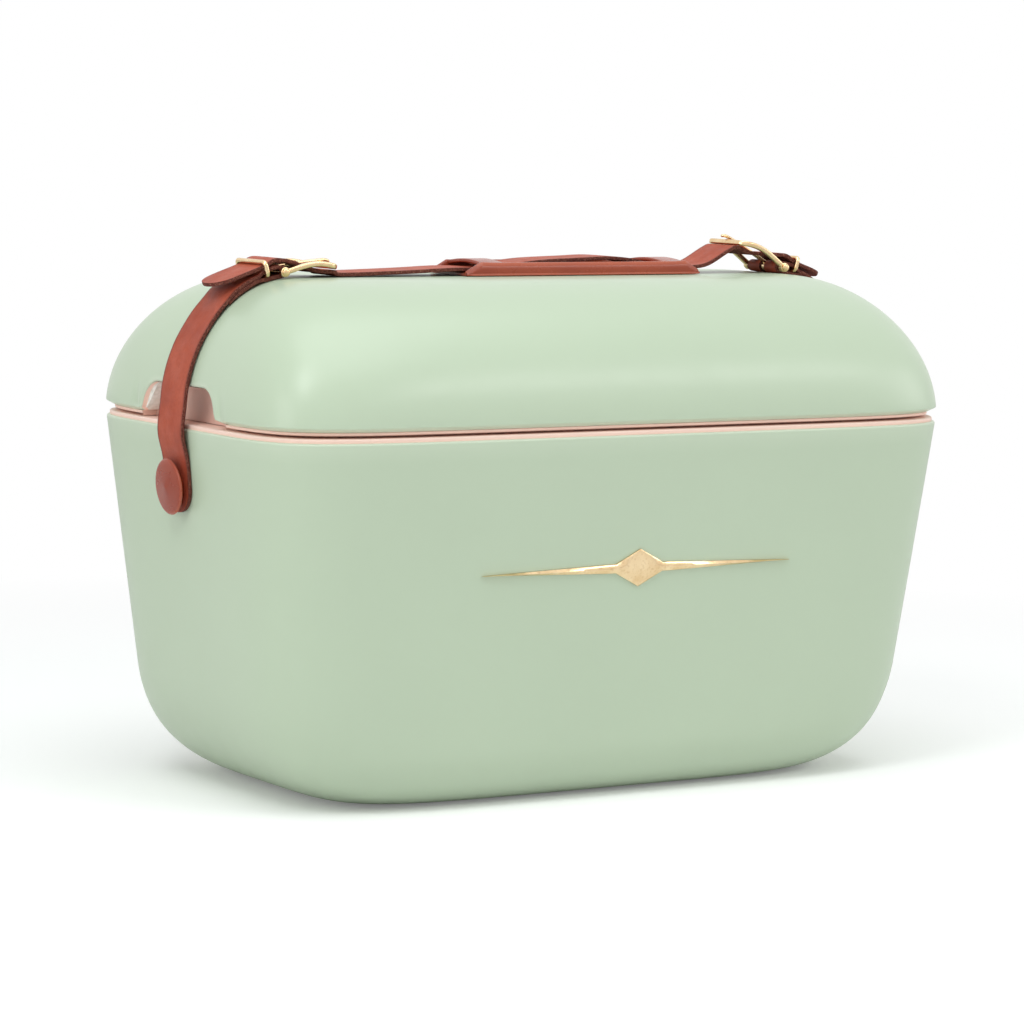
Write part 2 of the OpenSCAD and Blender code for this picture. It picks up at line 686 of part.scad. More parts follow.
// Spare hole in the free tail
module tail_hole(side, along) {
    p = lid_point(keeper_t, tail_off) + along * [cos(tail_droop), -sin(tail_droop)];
    mirror([side < 0 ? 1 : 0, 0, 0]) translate([p[0], 0, p[1]]) rotate([0, tail_droop, 0])
        cylinder(h = 5, r = hole_r, center = true, $fn = 32);
}

// Moulded grip: a floor with raised side rims and an arched bridge over the strap near each end
rim_w = 3.4;
bridge_len = 12;
bridge_t = 1.8;
bridge_rise = 1.2;
end_cut = 8;
end_foot = 0.35;                                  // share of the rims' height that is left at the very ends
end_dip = 0.6;                                    // how far their tops have fallen halfway along the cut
module grip_rim() {
    half = grip_len / 2;
    rotate([90, 0, 0]) linear_extrude(rim_w, center = true) polygon([[-half, 0], [half, 0],
        [half, grip_h * end_foot], [half - end_cut / 2, grip_h - end_dip], [half - end_cut, grip_h],
        [-half + end_cut, grip_h], [-half + end_cut / 2, grip_h - end_dip], [-half, grip_h * end_foot]]);
}

// Arched plate from rim to rim, seen along the strap
module bridge_arch() {
    half = grip_w / 2 - 0.5;
    low = grip_h - bridge_t;
    steps = 8;
    function arch_z(i) = low + bridge_rise * cos(i * ends / steps);
    polygon(concat([for (i = [-steps : steps]) [half * i / steps, arch_z(i)]],
        [for (i = [steps : -1 : -steps]) [half * i / steps, arch_z(i) + bridge_t]]));
}

module handle_grip() {
    color(brown) translate([grip_x, 0, grip_z]) {
        translate([-grip_len / 2, -grip_w / 2, 0]) cube([grip_len, grip_w, grip_floor]);
        for (end = [-1, 1]) {
            translate([0, end * (grip_w - rim_w) / 2, 0]) grip_rim();
            translate([end * (grip_len / 2 - end_cut - bridge_len / 2) - bridge_len / 2, 0, 0])
                rotate([90, 0, 90]) linear_extrude(bridge_len) bridge_arch();
        }
    }
}

tub_shell();
tub_foam();
tub_liner();
strap_studs();
stud_nuts();
front_badge();
lid_shell();
lid_foam();
lid_liner();
side_strap(-1);  // side_strap_left
strap_rivet(-1);  // strap_rivet_left
buckle_pin(-1);  // buckle_pin_left
buckle_frame(-1, tilt_left);  // buckle_frame_left
buckle_prong(-1, tilt_left);  // buckle_prong_left
strap_keeper(-1);  // strap_keeper_left
side_strap(1);  // side_strap_right
strap_rivet(1);  // strap_rivet_right
buckle_pin(1);  // buckle_pin_right
buckle_frame(1, tilt_right);  // buckle_frame_right
buckle_prong(1, tilt_right);  // buckle_prong_right
strap_keeper(1);  // strap_keeper_right
centre_strap();
handle_grip();
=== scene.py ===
import math

import bmesh
import bpy
import numpy as np
from mathutils import Matrix, Vector


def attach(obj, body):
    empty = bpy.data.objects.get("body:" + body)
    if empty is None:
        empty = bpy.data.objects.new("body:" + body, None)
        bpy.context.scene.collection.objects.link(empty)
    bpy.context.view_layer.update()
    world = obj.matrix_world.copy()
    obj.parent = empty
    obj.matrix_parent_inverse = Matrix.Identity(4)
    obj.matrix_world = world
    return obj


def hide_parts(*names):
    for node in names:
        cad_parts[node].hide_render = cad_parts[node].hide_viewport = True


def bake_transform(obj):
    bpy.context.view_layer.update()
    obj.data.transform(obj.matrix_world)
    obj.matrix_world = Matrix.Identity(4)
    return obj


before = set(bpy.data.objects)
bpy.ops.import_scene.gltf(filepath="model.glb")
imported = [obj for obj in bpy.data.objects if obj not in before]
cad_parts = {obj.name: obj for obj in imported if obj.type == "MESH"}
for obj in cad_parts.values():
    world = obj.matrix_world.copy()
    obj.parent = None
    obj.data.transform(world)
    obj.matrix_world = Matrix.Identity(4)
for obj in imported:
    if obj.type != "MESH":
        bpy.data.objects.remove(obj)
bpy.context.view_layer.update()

MM = 0.001
DEG = math.pi / 180
SIDES = ("left", "right")
SIGN = {"left": -1, "right": 1}

# ---------- camera, fitted to the outline and the seam of the photograph ----------

YAW, PITCH, ROLL = math.radians(31.54), math.radians(6.01), math.radians(0.97)
DISTANCE, AIM_Z, FOCAL_PX, CENTRE_PX = 1.9198, 0.1268, 3908.4, 523.3
PHOTO_PX, SENSOR = 1024, 36
back = Vector((-math.sin(YAW) * math.cos(PITCH), -math.cos(YAW) * math.cos(PITCH), math.sin(PITCH)))
level_x = (-back).cross(Vector((0, 0, 1))).normalized()
level_y = level_x.cross(-back)
cam_x = math.cos(ROLL) * level_x + math.sin(ROLL) * level_y
cam_y = -math.sin(ROLL) * level_x + math.cos(ROLL) * level_y
cam_data = bpy.data.cameras.new("camera")
cam = bpy.data.objects.new("camera", cam_data)
bpy.context.scene.collection.objects.link(cam)
cam.matrix_world = (Matrix.Translation(Vector((0, 0, AIM_Z)) + back * DISTANCE)
                    @ Matrix((cam_x, cam_y, back)).transposed().to_4x4())
cam_data.sensor_width = SENSOR
cam_data.lens = FOCAL_PX / PHOTO_PX * SENSOR
cam_data.shift_x = (PHOTO_PX / 2 - CENTRE_PX) / PHOTO_PX
cam_data.clip_start, cam_data.clip_end = 0.05, 50
bpy.context.scene.camera = cam
bpy.context.scene.view_settings.view_transform = "Standard"

# ---------- sizes in mm; those of the CAD part, but for the strap's small parts ----------

HL, HD = 190.0, 111.0
RIM, TUB_EDGE, WALL, SKIN = 176.0, 174.0, 22.0, 2.5
END_LEAN, SIDE_LEAN, END_R, SIDE_R = 0.085, 0.105, 58.0, 31.0
N_FOOT, N_SEAM, N_TOP = 5.2, 7.0, 4.9
FLANGE, LID_EDGE, LID_Z, DOME = 177.2, 178.7, 180.7, 62.8
LID_TOP = LID_Z + DOME
SX, SY = 54.0, 66.0
BEVEL_IN, SEAT_Z = 3.4, 176.3
POCKET_FOOT, POCKET_H, POCKET_X = 43.0, 13.2, 177.0
END_X, POCKET_REACH, POCKET_BLEND = 150, 49.0, 6.0     # where the lid's edge turns into the pocket's
STRAP_W, STRAP_T = 25.0, 1.8
STUD_Z, PIN_X, PIN_R = 147.0, 142.0, 1.1
FRAME_LEN, FRAME_BOW, FRAME_T, ARM_W = 28.0, 2.4, 2.5, 3.1
TILT = {"left": math.radians(4.5), "right": math.radians(26)}
KEEPER_WIRE, TAIL_DROOP = 2.3, math.radians(20)
TAIL_LEN = {"left": 25.5, "right": 20.5}
GRIP_X, GRIP_LEN, GRIP_W, GRIP_H = 22.4, 134.0, 37.0, 6.3
SLACK, TOUCH = 0.3, 0.1           # gaps between pieces that move and that rest on each other

# ---------- mesh helpers ----------

SHARP = 38                        # edges above this angle, in degrees, stay sharp


def make(name, verts, faces, mats, body, replaces=(), mat_index=None, sharp=SHARP):
    """A smooth object from places in mm; it rides on body and stands for the nodes that it replaces."""
    mesh = bpy.data.meshes.new(name)
    mesh.from_pydata([tuple(float(c) * MM for c in v) for v in verts], [],
                     [tuple(int(i) for i in f) for f in faces])
    for m in mats:
        mesh.materials.append(m)
    if mat_index is not None:
        mesh.polygons.foreach_set("material_index", np.asarray(mat_index, np.int32))
    mesh.validate()
    mesh.shade_smooth()
    mesh.set_sharp_from_angle(angle=math.radians(sharp))
    obj = bpy.data.objects.new(name, mesh)
    bpy.context.scene.collection.objects.link(obj)
    if body:
        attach(obj, body)
    if replaces:
        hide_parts(*replaces)
    return obj


def grid(rows, cols, start=0, closed=True):
    """Quads between consecutive rows of vertices; closed joins the last column to the first."""
    out = []
    for r in range(rows - 1):
        for c in range(cols if closed else cols - 1):
            a, b = start + r * cols + c, start + r * cols + (c + 1) % cols
            out.append((a, b, b + cols, a + cols))
    return out


def stacked(rings, cap_start=False, cap_end=False):
    """Vertices and faces of a surface through rings of equal length, with fans at the ends if wanted."""
    n = len(rings[0])
    verts = np.concatenate(rings)
    faces = grid(len(rings), n)
    if cap_start:
        faces += [((c + 1) % n, c, len(verts)) for c in range(n)]
        verts = np.vstack([verts, rings[0].mean(0)])
    if cap_end:
        base = (len(rings) - 1) * n
        faces += [(base + c, base + (c + 1) % n, len(verts)) for c in range(n)]
        verts = np.vstack([verts, rings[-1].mean(0)])
    return verts, faces


def capped(rings):
    return stacked(rings, cap_start=True, cap_end=True)


def joined(parts):
    """One set of vertices and faces from several."""
    faces, at = [], 0
    for v, f in parts:
        faces += [tuple(k + at for k in q) for q in f]
        at += len(v)
    return np.vstack([v for v, _ in parts]), faces


def apply_modifiers(obj):
    dg = bpy.context.evaluated_depsgraph_get()
    mesh = bpy.data.meshes.new_from_object(obj.evaluated_get(dg))
    old = obj.data
    obj.modifiers.clear()
    obj.data = mesh
    bpy.data.meshes.remove(old)


def cut(obj, verts, faces, mat):
    """Takes a closed shape out of obj, and gives the cut faces the material mat."""
    tool = make("cutter", verts, faces, [mat], None)
    mod = obj.modifiers.new("cut", "BOOLEAN")
    mod.object, mod.operation, mod.solver = tool, "DIFFERENCE", "EXACT"
    mod.material_mode = "TRANSFER"
    apply_modifiers(obj)
    bpy.data.objects.remove(tool)
    obj.data.set_sharp_from_angle(angle=math.radians(SHARP))


def edited(obj, *changes):
    bm = bmesh.new()
    bm.from_mesh(obj.data)
    for change in changes:
        change(bm)
    bm.to_mesh(obj.data)
    bm.free()


def outwards(bm):
    bmesh.ops.recalc_face_normals(bm, faces=bm.faces)


def unit(v):
    v = np.asarray(v, float)
    return v / np.linalg.norm(v)


def mirror_x(points, side):
    p = np.array(points, float)
    if side == "left":
        p[..., 0] *= -1
    return p


def turned(faces):
    return [tuple(reversed(f)) for f in faces]


def flipped(faces, side):
    return turned(faces) if side == "left" else faces


def tangents(path, *at):
    t = np.gradient(path, *at, axis=0)
    return t / np.linalg.norm(t, axis=1, keepdims=True)


def arc(steps):
    """Places along a quarter of a unit circle, as its distance in from one tangent and its height."""
    return [(1 - math.cos(math.pi / 2 * k), math.sin(math.pi / 2 * k)) for k in np.linspace(0, 1, steps)]


# ---------- sections ----------

QUARTER = 290.0                   # length of a quarter of the seam, about


def fractions(ends=52, fine=0.6):
    """Places along a quarter of a section, close together beside the ends of the box."""
    s = [0.0]
    while s[-1] < ends:
        s.append(s[-1] + fine)
    while s[-1] < QUARTER:
        s.append(s[-1] + min(3.0, fine + (s[-1] - ends) * 0.12 + 0.15))
    return np.array(s[:-1]) / s[-1]


EVEN = np.arange(84) / 84
FINE = fractions()


def ring(a, b, n, z, places=EVEN):
    """A closed superellipse section with its points at equal shares of its length in all four quarters."""
    phi = np.linspace(0, math.pi / 2, 900)
    r = ((np.cos(phi) / a) ** n + (np.maximum(np.sin(phi), 0) / b) ** n) ** (-1 / n)
    x, y = r * np.cos(phi), r * np.sin(phi)
    s = np.concatenate([[0], np.cumsum(np.hypot(np.diff(x), np.diff(y)))])
    s /= s[-1]
    p = np.concatenate([places, [1.0]])
    qx, qy = np.interp(p, s, x), np.interp(p, s, y)
    qx[-1], qy[0] = 0.0, 0.0
    m = len(places)
    xs = np.concatenate([qx[:m], -qx[:0:-1], -qx[:m], qx[:0:-1]])
    ys = np.concatenate([qy[:m], qy[:0:-1], -qy[:m], -qy[:0:-1]])
    return np.column_stack([xs, ys, np.full(len(xs), float(z))])


def tub_half(top, lean, round_r, d, z):
    t = math.atan(lean)
    r = round_r - d
    foot = top - d / math.cos(t) - lean * (RIM - (d + r)) - r / math.cos(t)
    if z >= d + r * (1 - math.sin(t)):
        return top - d / math.cos(t) - lean * (RIM - z)
    return foot + math.sqrt(max(0.0, r * r - (r - (z - d)) ** 2))


def tub_ring(d, z, places=EVEN):
    return ring(tub_half(HL, END_LEAN, END_R, d, z), tub_half(HD, SIDE_LEAN, SIDE_R, d, z),
                N_FOOT + (N_SEAM - N_FOOT) * z / RIM, z, places)


def tub_levels(d, top, steps=26, wall_steps=14):
    foot = [d + (END_R - d) * (1 - math.cos(math.pi / 2 * i / steps)) for i in range(steps + 1)]
    return foot + list(np.linspace(foot[-1], top, wall_steps + 1)[1:])


def lid_ring(d, t, places=EVEN):
    return ring(HL - SX + (SX - d) * math.cos(t), HD - SY + (SY - d) * math.cos(t),
                N_SEAM + (N_TOP - N_SEAM) * math.sin(t), LID_Z + (DOME - d) * math.sin(t), places)


def seam_ring(d, z, places=EVEN):
    return ring(HL - d, HD - d, N_SEAM, z, places)


def shrunk(r, k, z=None):
    q = r.copy()
    q[:, :2] *= k
    if z is not None:
        q[:, 2] = z
    return q


# ---------- materials ----------

def srgb(r, g, b):
    """A screen colour as the linear one that a shader takes."""
    return tuple(((c / 255 + 0.055) / 1.055) ** 2.4 for c in (r, g, b)) + (1.0,)


class Tree:
    """The node tree of a material or a world, with a short way to add to it."""

    def __init__(self, owner):
        owner.use_nodes = True
        self.tree = owner.node_tree

    def add(self, kind, inputs=None, **settings):
        n = self.tree.nodes.new(kind)
        for k, v in settings.items():
            setattr(n, k, v)
        self.feed(n, inputs or {})
        return n

    def feed(self, node, inputs):
        for k, v in inputs.items():
            if isinstance(v, bpy.types.NodeSocket):
                self.tree.links.new(v, node.inputs[k])
            else:
                node.inputs[k].default_value = v


class Nodes(Tree):
    """A material with a Principled shader and short ways to add what feeds it."""

    def __init__(self, name, colour, rough, metallic=0.0, specular=0.5):
        self.mat = bpy.data.materials.new(name)
        super().__init__(self.mat)
        self.shader = self.tree.nodes["Principled BSDF"]
        self.feed(self.shader, {"Base Color": colour, "Roughness": rough, "Metallic": metallic,
                                "Specular IOR Level": specular})
        self.coord = self.tree.nodes.new("ShaderNodeTexCoord").outputs["Object"]

    def scaled(self, x, y, z):
        return self.add("ShaderNodeMapping", {"Vector": self.coord, "Scale": (x, y, z)}).outputs[0]

    def noise(self, scale, detail=3.0, rough=0.5, vector=None):
        return self.add("ShaderNodeTexNoise", {"Vector": vector or self.coord, "Scale": scale,
                                               "Detail": detail, "Roughness": rough}).outputs["Fac"]

    def remap(self, value, a, b, low, high):
        return self.add("ShaderNodeMapRange", {"Value": value, "From Min": a, "From Max": b,
                                               "To Min": low, "To Max": high}).outputs[0]

    def ramp(self, value, stops):
        n = self.add("ShaderNodeValToRGB", {"Fac": value})
        e = n.color_ramp.elements
        while len(e) < len(stops):
            e.new(0.5)
        for i, (at, colour) in enumerate(stops):
            e[i].position, e[i].color = at, colour
        return n.outputs["Color"]

    def mix(self, fac, a, b):
        return self.add("ShaderNodeMix", {0: fac, 6: a, 7: b}, data_type="RGBA").outputs[2]

    def bump(self, height, strength, distance, normal=None):
        inputs = {"Height": height, "Strength": strength, "Distance": distance}
        if normal:
            inputs["Normal"] = normal
        return self.add("ShaderNodeBump", inputs).outputs["Normal"]

    def attribute(self, name):
        return self.add("ShaderNodeAttribute", attribute_name=name).outputs["Fac"]

    def to(self, name, socket):
        self.tree.links.new(socket, self.shader.inputs[name])

    def roughness(self, value, low, high):
        self.to("Roughness", self.remap(value, 0.3, 0.7, low, high))

    def done(self, colour, normal):
        self.to("Base Color", colour)
        self.to("Normal", normal)
        return self.mat


def tone(colour, k):
    return tuple(min(1.0, c * k) for c in colour[:3]) + (1.0,)


def moulded(name, colour, rough, highlight_colour, specular=0.5):
    """Satin moulded plastic: fine spark-eroded texture, faint flow clouds, and a painted highlight that
    makes it paler along its edges.
    """
    m = Nodes(name, colour, rough, specular=specular)
    clouds = m.noise(9.0, 2.0)
    base = m.ramp(clouds, [(0.3, tone(colour, 0.985)), (0.7, tone(colour, 1.012))])
    specks = m.remap(m.noise(2600.0, 1.0), 0.35, 0.65, 0.0, 0.05)
    base = m.mix(specks, base, tone(colour, 0.86))
    # painted highlight: a paler colour mixed in where the vertex attribute edge is high, standing in for
    # light caught by rounded edges
    base = m.mix(m.attribute("edge"), base, highlight_colour)
    m.roughness(m.noise(60.0, 4.0), rough - 0.03, rough + 0.04)
    fine = m.bump(m.noise(1500.0, 2.0, 0.6), 0.05, 0.0001)
    return m.done(base, m.bump(m.noise(14.0, 1.0), 0.08, 0.0006, fine))


GREEN = srgb(190, 206, 181)
PINK = srgb(254, 216, 200)
BROWN = srgb(172, 78, 53)
# the last colour of each is the painted highlight along the plastic's edges
green = moulded("green_plastic", GREEN, 0.32, srgb(214, 224, 204))
pink = moulded("pink_plastic", PINK, 0.42, srgb(248, 226, 216))


def glossy_brown():
    m = Nodes("brown_plastic", srgb(152, 64, 40), 0.22, specular=0.38)
    base = m.ramp(m.noise(22.0, 3.0), [(0.3, srgb(144, 57, 35)), (0.7, srgb(162, 72, 46))])
    # painted highlight: a paler brown along the rims of the grip and of the studs' heads
    base = m.mix(m.attribute("edge"), base, srgb(188, 102, 76))
    m.roughness(m.noise(90.0, 4.0), 0.20, 0.32)
    fine = m.bump(m.noise(1300.0, 2.0), 0.06, 0.0001)
    return m.done(base, m.bump(m.noise(70.0, 2.0), 0.10, 0.0004, fine))


def leather_top():
    m = Nodes("leather_grain", BROWN, 0.55, specular=0.3)
    drift = m.add("ShaderNodeTexNoise", {"Vector": m.coord, "Scale": 300.0}).outputs["Color"]
    warp = m.add("ShaderNodeMix", {0: 0.0004, 4: m.coord, 5: drift}, data_type="VECTOR")
    cells = m.add("ShaderNodeTexVoronoi", {"Vector": warp.outputs[1], "Scale": 1150.0},
                  feature="DISTANCE_TO_EDGE")
    creases = m.remap(cells.outputs["Distance"], 0.0, 0.22, 0.0, 1.0)
    base = m.ramp(m.noise(42.0, 5.0, 0.6),
                  [(0.28, srgb(152, 64, 43)), (0.5, BROWN), (0.74, srgb(185, 90, 64))])
    base = m.mix(m.remap(m.noise(700.0, 3.0), 0.42, 0.7, 0.0, 0.35), base, srgb(146, 62, 42))
    base = m.mix(m.attribute("edge"), base, srgb(120, 52, 39))
    m.roughness(m.noise(160.0, 4.0), 0.46, 0.62)
    grain = m.bump(creases, 0.22, 0.00012)
    return m.done(base, m.bump(m.noise(110.0, 4.0), 0.22, 0.0004, grain))


def leather_edge():
    m = Nodes("leather_cut", srgb(92, 46, 38), 0.85, specular=0.25)
    fibres = m.noise(1.0, 4.0, 0.7, m.scaled(1500, 900, 1500))
    base = m.ramp(fibres, [(0.3, srgb(62, 32, 28)), (0.52, srgb(104, 52, 42)),
                           (0.66, srgb(150, 100, 84)), (0.8, srgb(205, 170, 152))])
    m.roughness(fibres, 0.75, 0.95)
    return m.done(base, m.bump(fibres, 0.7, 0.0004))


def leather_back():
    m = Nodes("leather_suede", srgb(118, 62, 50), 0.9, specular=0.2)
    nap = m.noise(900.0, 5.0, 0.65)
    base = m.ramp(nap, [(0.3, srgb(92, 46, 37)), (0.7, srgb(140, 80, 65))])
    return m.done(base, m.bump(nap, 0.5, 0.0003))


def gold_metal():
    m = Nodes("gold_plate", srgb(236, 206, 160), 0.17, metallic=1.0)
    base = m.ramp(m.noise(120.0, 3.0), [(0.3, srgb(226, 193, 146)), (0.7, srgb(243, 217, 176))])
    base = m.mix(m.remap(m.noise(800.0, 4.0), 0.55, 0.75, 0.0, 0.5), base, srgb(196, 156, 110))
    m.roughness(m.noise(340.0, 4.0), 0.11, 0.26)
    return m.done(base, m.bump(m.noise(1.0, 3.0, 0.6, m.scaled(300, 1600, 300)), 0.06, 0.0001))


def foam_white():
    m = Nodes("white_foam", srgb(240, 240, 235), 0.9)
    cells = m.add("ShaderNodeTexVoronoi", {"Vector": m.coord, "Scale": 420.0}).outputs["Distance"]
    base = m.ramp(cells, [(0.1, srgb(244, 243, 238)), (0.8, srgb(222, 221, 214))])
    return m.done(base, m.bump(cells, 0.4, 0.0006))


def zinc_steel():
    m = Nodes("zinc_steel", srgb(190, 190, 194), 0.35, metallic=1.0)
    base = m.ramp(m.noise(90.0, 4.0), [(0.3, srgb(168, 170, 174)), (0.7, srgb(206, 206, 208))])
    m.roughness(m.noise(500.0, 3.0), 0.28, 0.45)
    return m.done(base, m.bump(m.noise(1.0, 2.0, 0.5, m.scaled(200, 200, 1800)), 0.12, 0.0001))


brown = glossy_brown()
grain, raw_edge, suede = leather_top(), leather_edge(), leather_back()
LEATHER = [grain, raw_edge, suede]
gold = gold_metal()
foam, steel = foam_white(), zinc_steel()


def share(value, over):
    return np.clip(value / over, 0, 1)


def edge_attribute(obj, fn):
    """Share of the edge mark at each vertex, from its place in mm: a painted highlight on the plastics, edge
    darkening on the leather.
    """
    co = np.zeros(len(obj.data.vertices) * 3)
    obj.data.vertices.foreach_get("co", co)
    co = co.reshape(-1, 3) / MM
    a = obj.data.attributes.get("edge") or obj.data.attributes.new("edge", "FLOAT", "POINT")
    a.data.foreach_set("value", np.clip(fn(co), 0, 1).astype(np.float32))


# ---------- tub ----------

def tub_outer():
    r = 1.2
    rings = [tub_ring(0, z) for z in tub_levels(0, TUB_EDGE - r)]
    rings += [tub_ring(r * i, TUB_EDGE - r + r * u) for i, u in arc(6)[1:]]
    rings.append(tub_ring(SKIN, TUB_EDGE))
    rings += [tub_ring(SKIN, z) for z in reversed(tub_levels(SKIN, TUB_EDGE - 1, 8, 3))]
    recess = 16                   # from the foot's edge in to the shallow recess below
    a = tub_half(HL, END_LEAN, END_R, 0, 0) - recess
    b = tub_half(HD, SIDE_LEAN, SIDE_R, 0, 0) - recess
    under = [ring(a + d, b + d, N_FOOT, z) for d, z in (
        (-6, 1.0), (-1.2, 1.0), (-0.4, 0.7), (0.4, 0.25), (1.2, 0.0), (8, 0.0))]
    under = [shrunk(under[0], k, 1.0) for k in (0.12, 0.4, 0.7)] + under
    verts, faces = capped(under + rings)
    obj = make("tub_skin", verts, faces, [green], "tub", ["tub_shell"])
    # painted highlight along the green skin's rounded top edge
    edge_attribute(obj, lambda c: 0.75 * share(c[:, 2] - TUB_EDGE + 1.6, 1.4))


def tub_inner():
    d, r, lip = 1.4, 0.8, 1.6      # the rim's inset, its outer rounding and its inner one
    rings = [tub_ring(SKIN + 1, TUB_EDGE), tub_ring(d, TUB_EDGE)]
    rings += [tub_ring(d + r * i, RIM - r + r * u) for i, u in arc(6)]
    rings += [tub_ring(x, RIM) for x in (6, 12, 18)]
    rings += [tub_ring(WALL - lip + lip * u, RIM - lip * i) for i, u in arc(6)]
    rings += [tub_ring(WALL, z) for z in reversed(tub_levels(WALL, RIM - 2.2, 14, 8))]
    rings += [shrunk(rings[-1], k) for k in (0.85, 0.6, 0.3)]
    verts, faces = stacked(rings, cap_end=True)
    obj = make("tub_lining", verts, faces, [pink], "tub", ["tub_liner"])
    # painted highlight along the top of the pink rim
    edge_attribute(obj, lambda c: 0.5 * share(c[:, 2] - RIM + 1.2, 1.0))


tub_outer()
tub_inner()

# ---------- lid ----------

ROUND = 1.3                       # rounding of the lid's edge round a finger pocket
FLARE_R, CROWN_R = 6.5, 14.0      # curves of the pocket's foot and top
FLANK = math.radians(70)          # slope between them


def bell(s):
    """Half of the pocket's outline: from its foot (s = 0) up the flank (1) and along the flat top (2)."""
    s = np.asarray(s, float)
    rise = LID_Z + POCKET_H - LID_EDGE
    straight = (rise - (FLARE_R + CROWN_R) * (1 - math.cos(FLANK))) / math.sin(FLANK)
    lengths = np.array([FLARE_R * FLANK, straight, CROWN_R * FLANK])
    d = np.clip(s, 0, 1) * lengths.sum()
    a = np.clip(d, 0, lengths[0]) / FLARE_R
    m = np.clip(d - lengths[0], 0, straight)
    c = np.clip(d - lengths[0] - straight, 0, lengths[2]) / CROWN_R
    run = FLARE_R * np.sin(a) + m * math.cos(FLANK) + CROWN_R * (math.sin(FLANK) - np.sin(FLANK - c))
    z = (LID_EDGE + FLARE_R * (1 - np.cos(a)) + m * math.sin(FLANK)
         + CROWN_R * (np.cos(FLANK - c) - math.cos(FLANK)))
    width = (FLARE_R + CROWN_R) * math.sin(FLANK) + straight * math.cos(FLANK)
    y = POCKET_FOOT - run - (POCKET_FOOT - width) * np.clip(s - 1, 0, 1)
    slope = np.where(c > 0, FLANK - c, a)
    return np.stack([y, z], -1), np.stack([np.sin(slope), np.cos(slope)], -1)


def lid_face_x(y, z):
    """Half length of the lid at the place y, z of its end."""
    if z >= LID_Z:
        t = math.asin(min(1.0, (z - LID_Z) / DOME))
        a, b = HL - SX + SX * math.cos(t), HD - SY + SY * math.cos(t)
        n = N_SEAM + (N_TOP - N_SEAM) * math.sin(t)
    else:
        inset = BEVEL_IN * (LID_Z - z) / (LID_Z - LID_EDGE)
        a, b, n = HL - inset, HD - inset, N_SEAM
    return a * max(0.0, 1 - (abs(y) / b) ** n) ** (1 / n)


T_TABLE = np.linspace(0, math.pi / 2, 160)
LID_TABLE = np.stack([lid_ring(0, t, FINE) for t in T_TABLE])       # angle, column, xyz
COLS = LID_TABLE.shape[1]


def on_lid(col, t):
    xy = [np.interp(t, T_TABLE, LID_TABLE[:, col, k]) for k in range(2)]
    return np.array(xy + [LID_Z + DOME * math.sin(t)])


def edge_profile():
    """The lid's lower edge away from the pockets, as inset and drop below the widest line."""
    r, turn = 1.1, math.acos((LID_Z - LID_EDGE) / math.hypot(BEVEL_IN, LID_Z - LID_EDGE))
    lead = r * math.tan(turn / 2)
    pts = [(r - r * math.cos(a), -lead + r * math.sin(a)) for a in np.linspace(0, turn, 5)]
    return pts + [(3.1, 1.84), (3.3, 1.96), (3.7, 2.0), (5.9, 2.0)], lead


EDGE, LEAD = edge_profile()
S_FINE = np.linspace(0, 1, 400)
B_POINTS, B_NORMALS = bell(S_FINE)
GROWN = B_POINTS + ROUND * B_NORMALS
CROWN_Y = B_POINTS[-1, 0]         # where the pocket's top turns level
T_LEAD = math.asin(LEAD / DOME)
SEAM_FINE = {}


def seam_point(col, inset):
    key = round(inset, 3)
    if key not in SEAM_FINE:
        SEAM_FINE[key] = seam_ring(inset, 0, FINE)
    return SEAM_FINE[key][col]


def lid_column(col):
    """Where the dome starts on this column, and the points of its edge."""
    p0 = LID_TABLE[0, col]
    at_end = abs(p0[0]) > END_X and abs(p0[1]) < POCKET_REACH + 3
    straight = []
    for inset, drop in EDGE:
        q = seam_point(col, inset).copy() if drop > -LEAD + 1e-6 else on_lid(col, T_LEAD)
        q[2] = LID_Z - drop
        straight.append(q)
    if not at_end:
        return T_LEAD, np.array(straight)
    side = math.copysign(1, p0[0])
    t = T_LEAD
    for _ in range(8):
        y = abs(on_lid(col, t)[1])
        z = np.interp(y, GROWN[::-1, 0], GROWN[::-1, 1]) if y < GROWN[0, 0] else LID_EDGE
        t = max(T_LEAD, math.asin(min(1.0, max(0.0, (z - LID_Z) / DOME))))
    y = abs(on_lid(col, t)[1])
    w = min(1.0, max(0.0, (POCKET_REACH - y) / POCKET_BLEND))
    w = w * w * (3 - 2 * w)
    if w == 0:
        return T_LEAD, np.array(straight)
    if y > CROWN_Y:
        s = np.interp(-y, -GROWN[:, 0], S_FINE)
        (py, pz), (ny, nz) = (v[0] for v in bell([s]))
        if y > GROWN[0, 0]:
            py = y
    else:
        py, pz, ny, nz = y, LID_Z + POCKET_H, 0.0, 1.0
    rows = [(ROUND * (1 - u), ROUND * i) for i, u in arc(5)]
    rows += [(0.0, ROUND + d) for d in (0.3, 0.6, 0.9, SKIN - ROUND)]
    sy = math.copysign(1, p0[1]) if abs(p0[1]) > 1e-9 else 0.0
    pocket = []
    for off, depth in rows:
        yy, zz = py + ny * off, pz + nz * off
        pocket.append((side * (lid_face_x(yy, zz) - depth), sy * yy, zz))
    return t, (1 - w) * np.array(straight) + w * np.array(pocket)


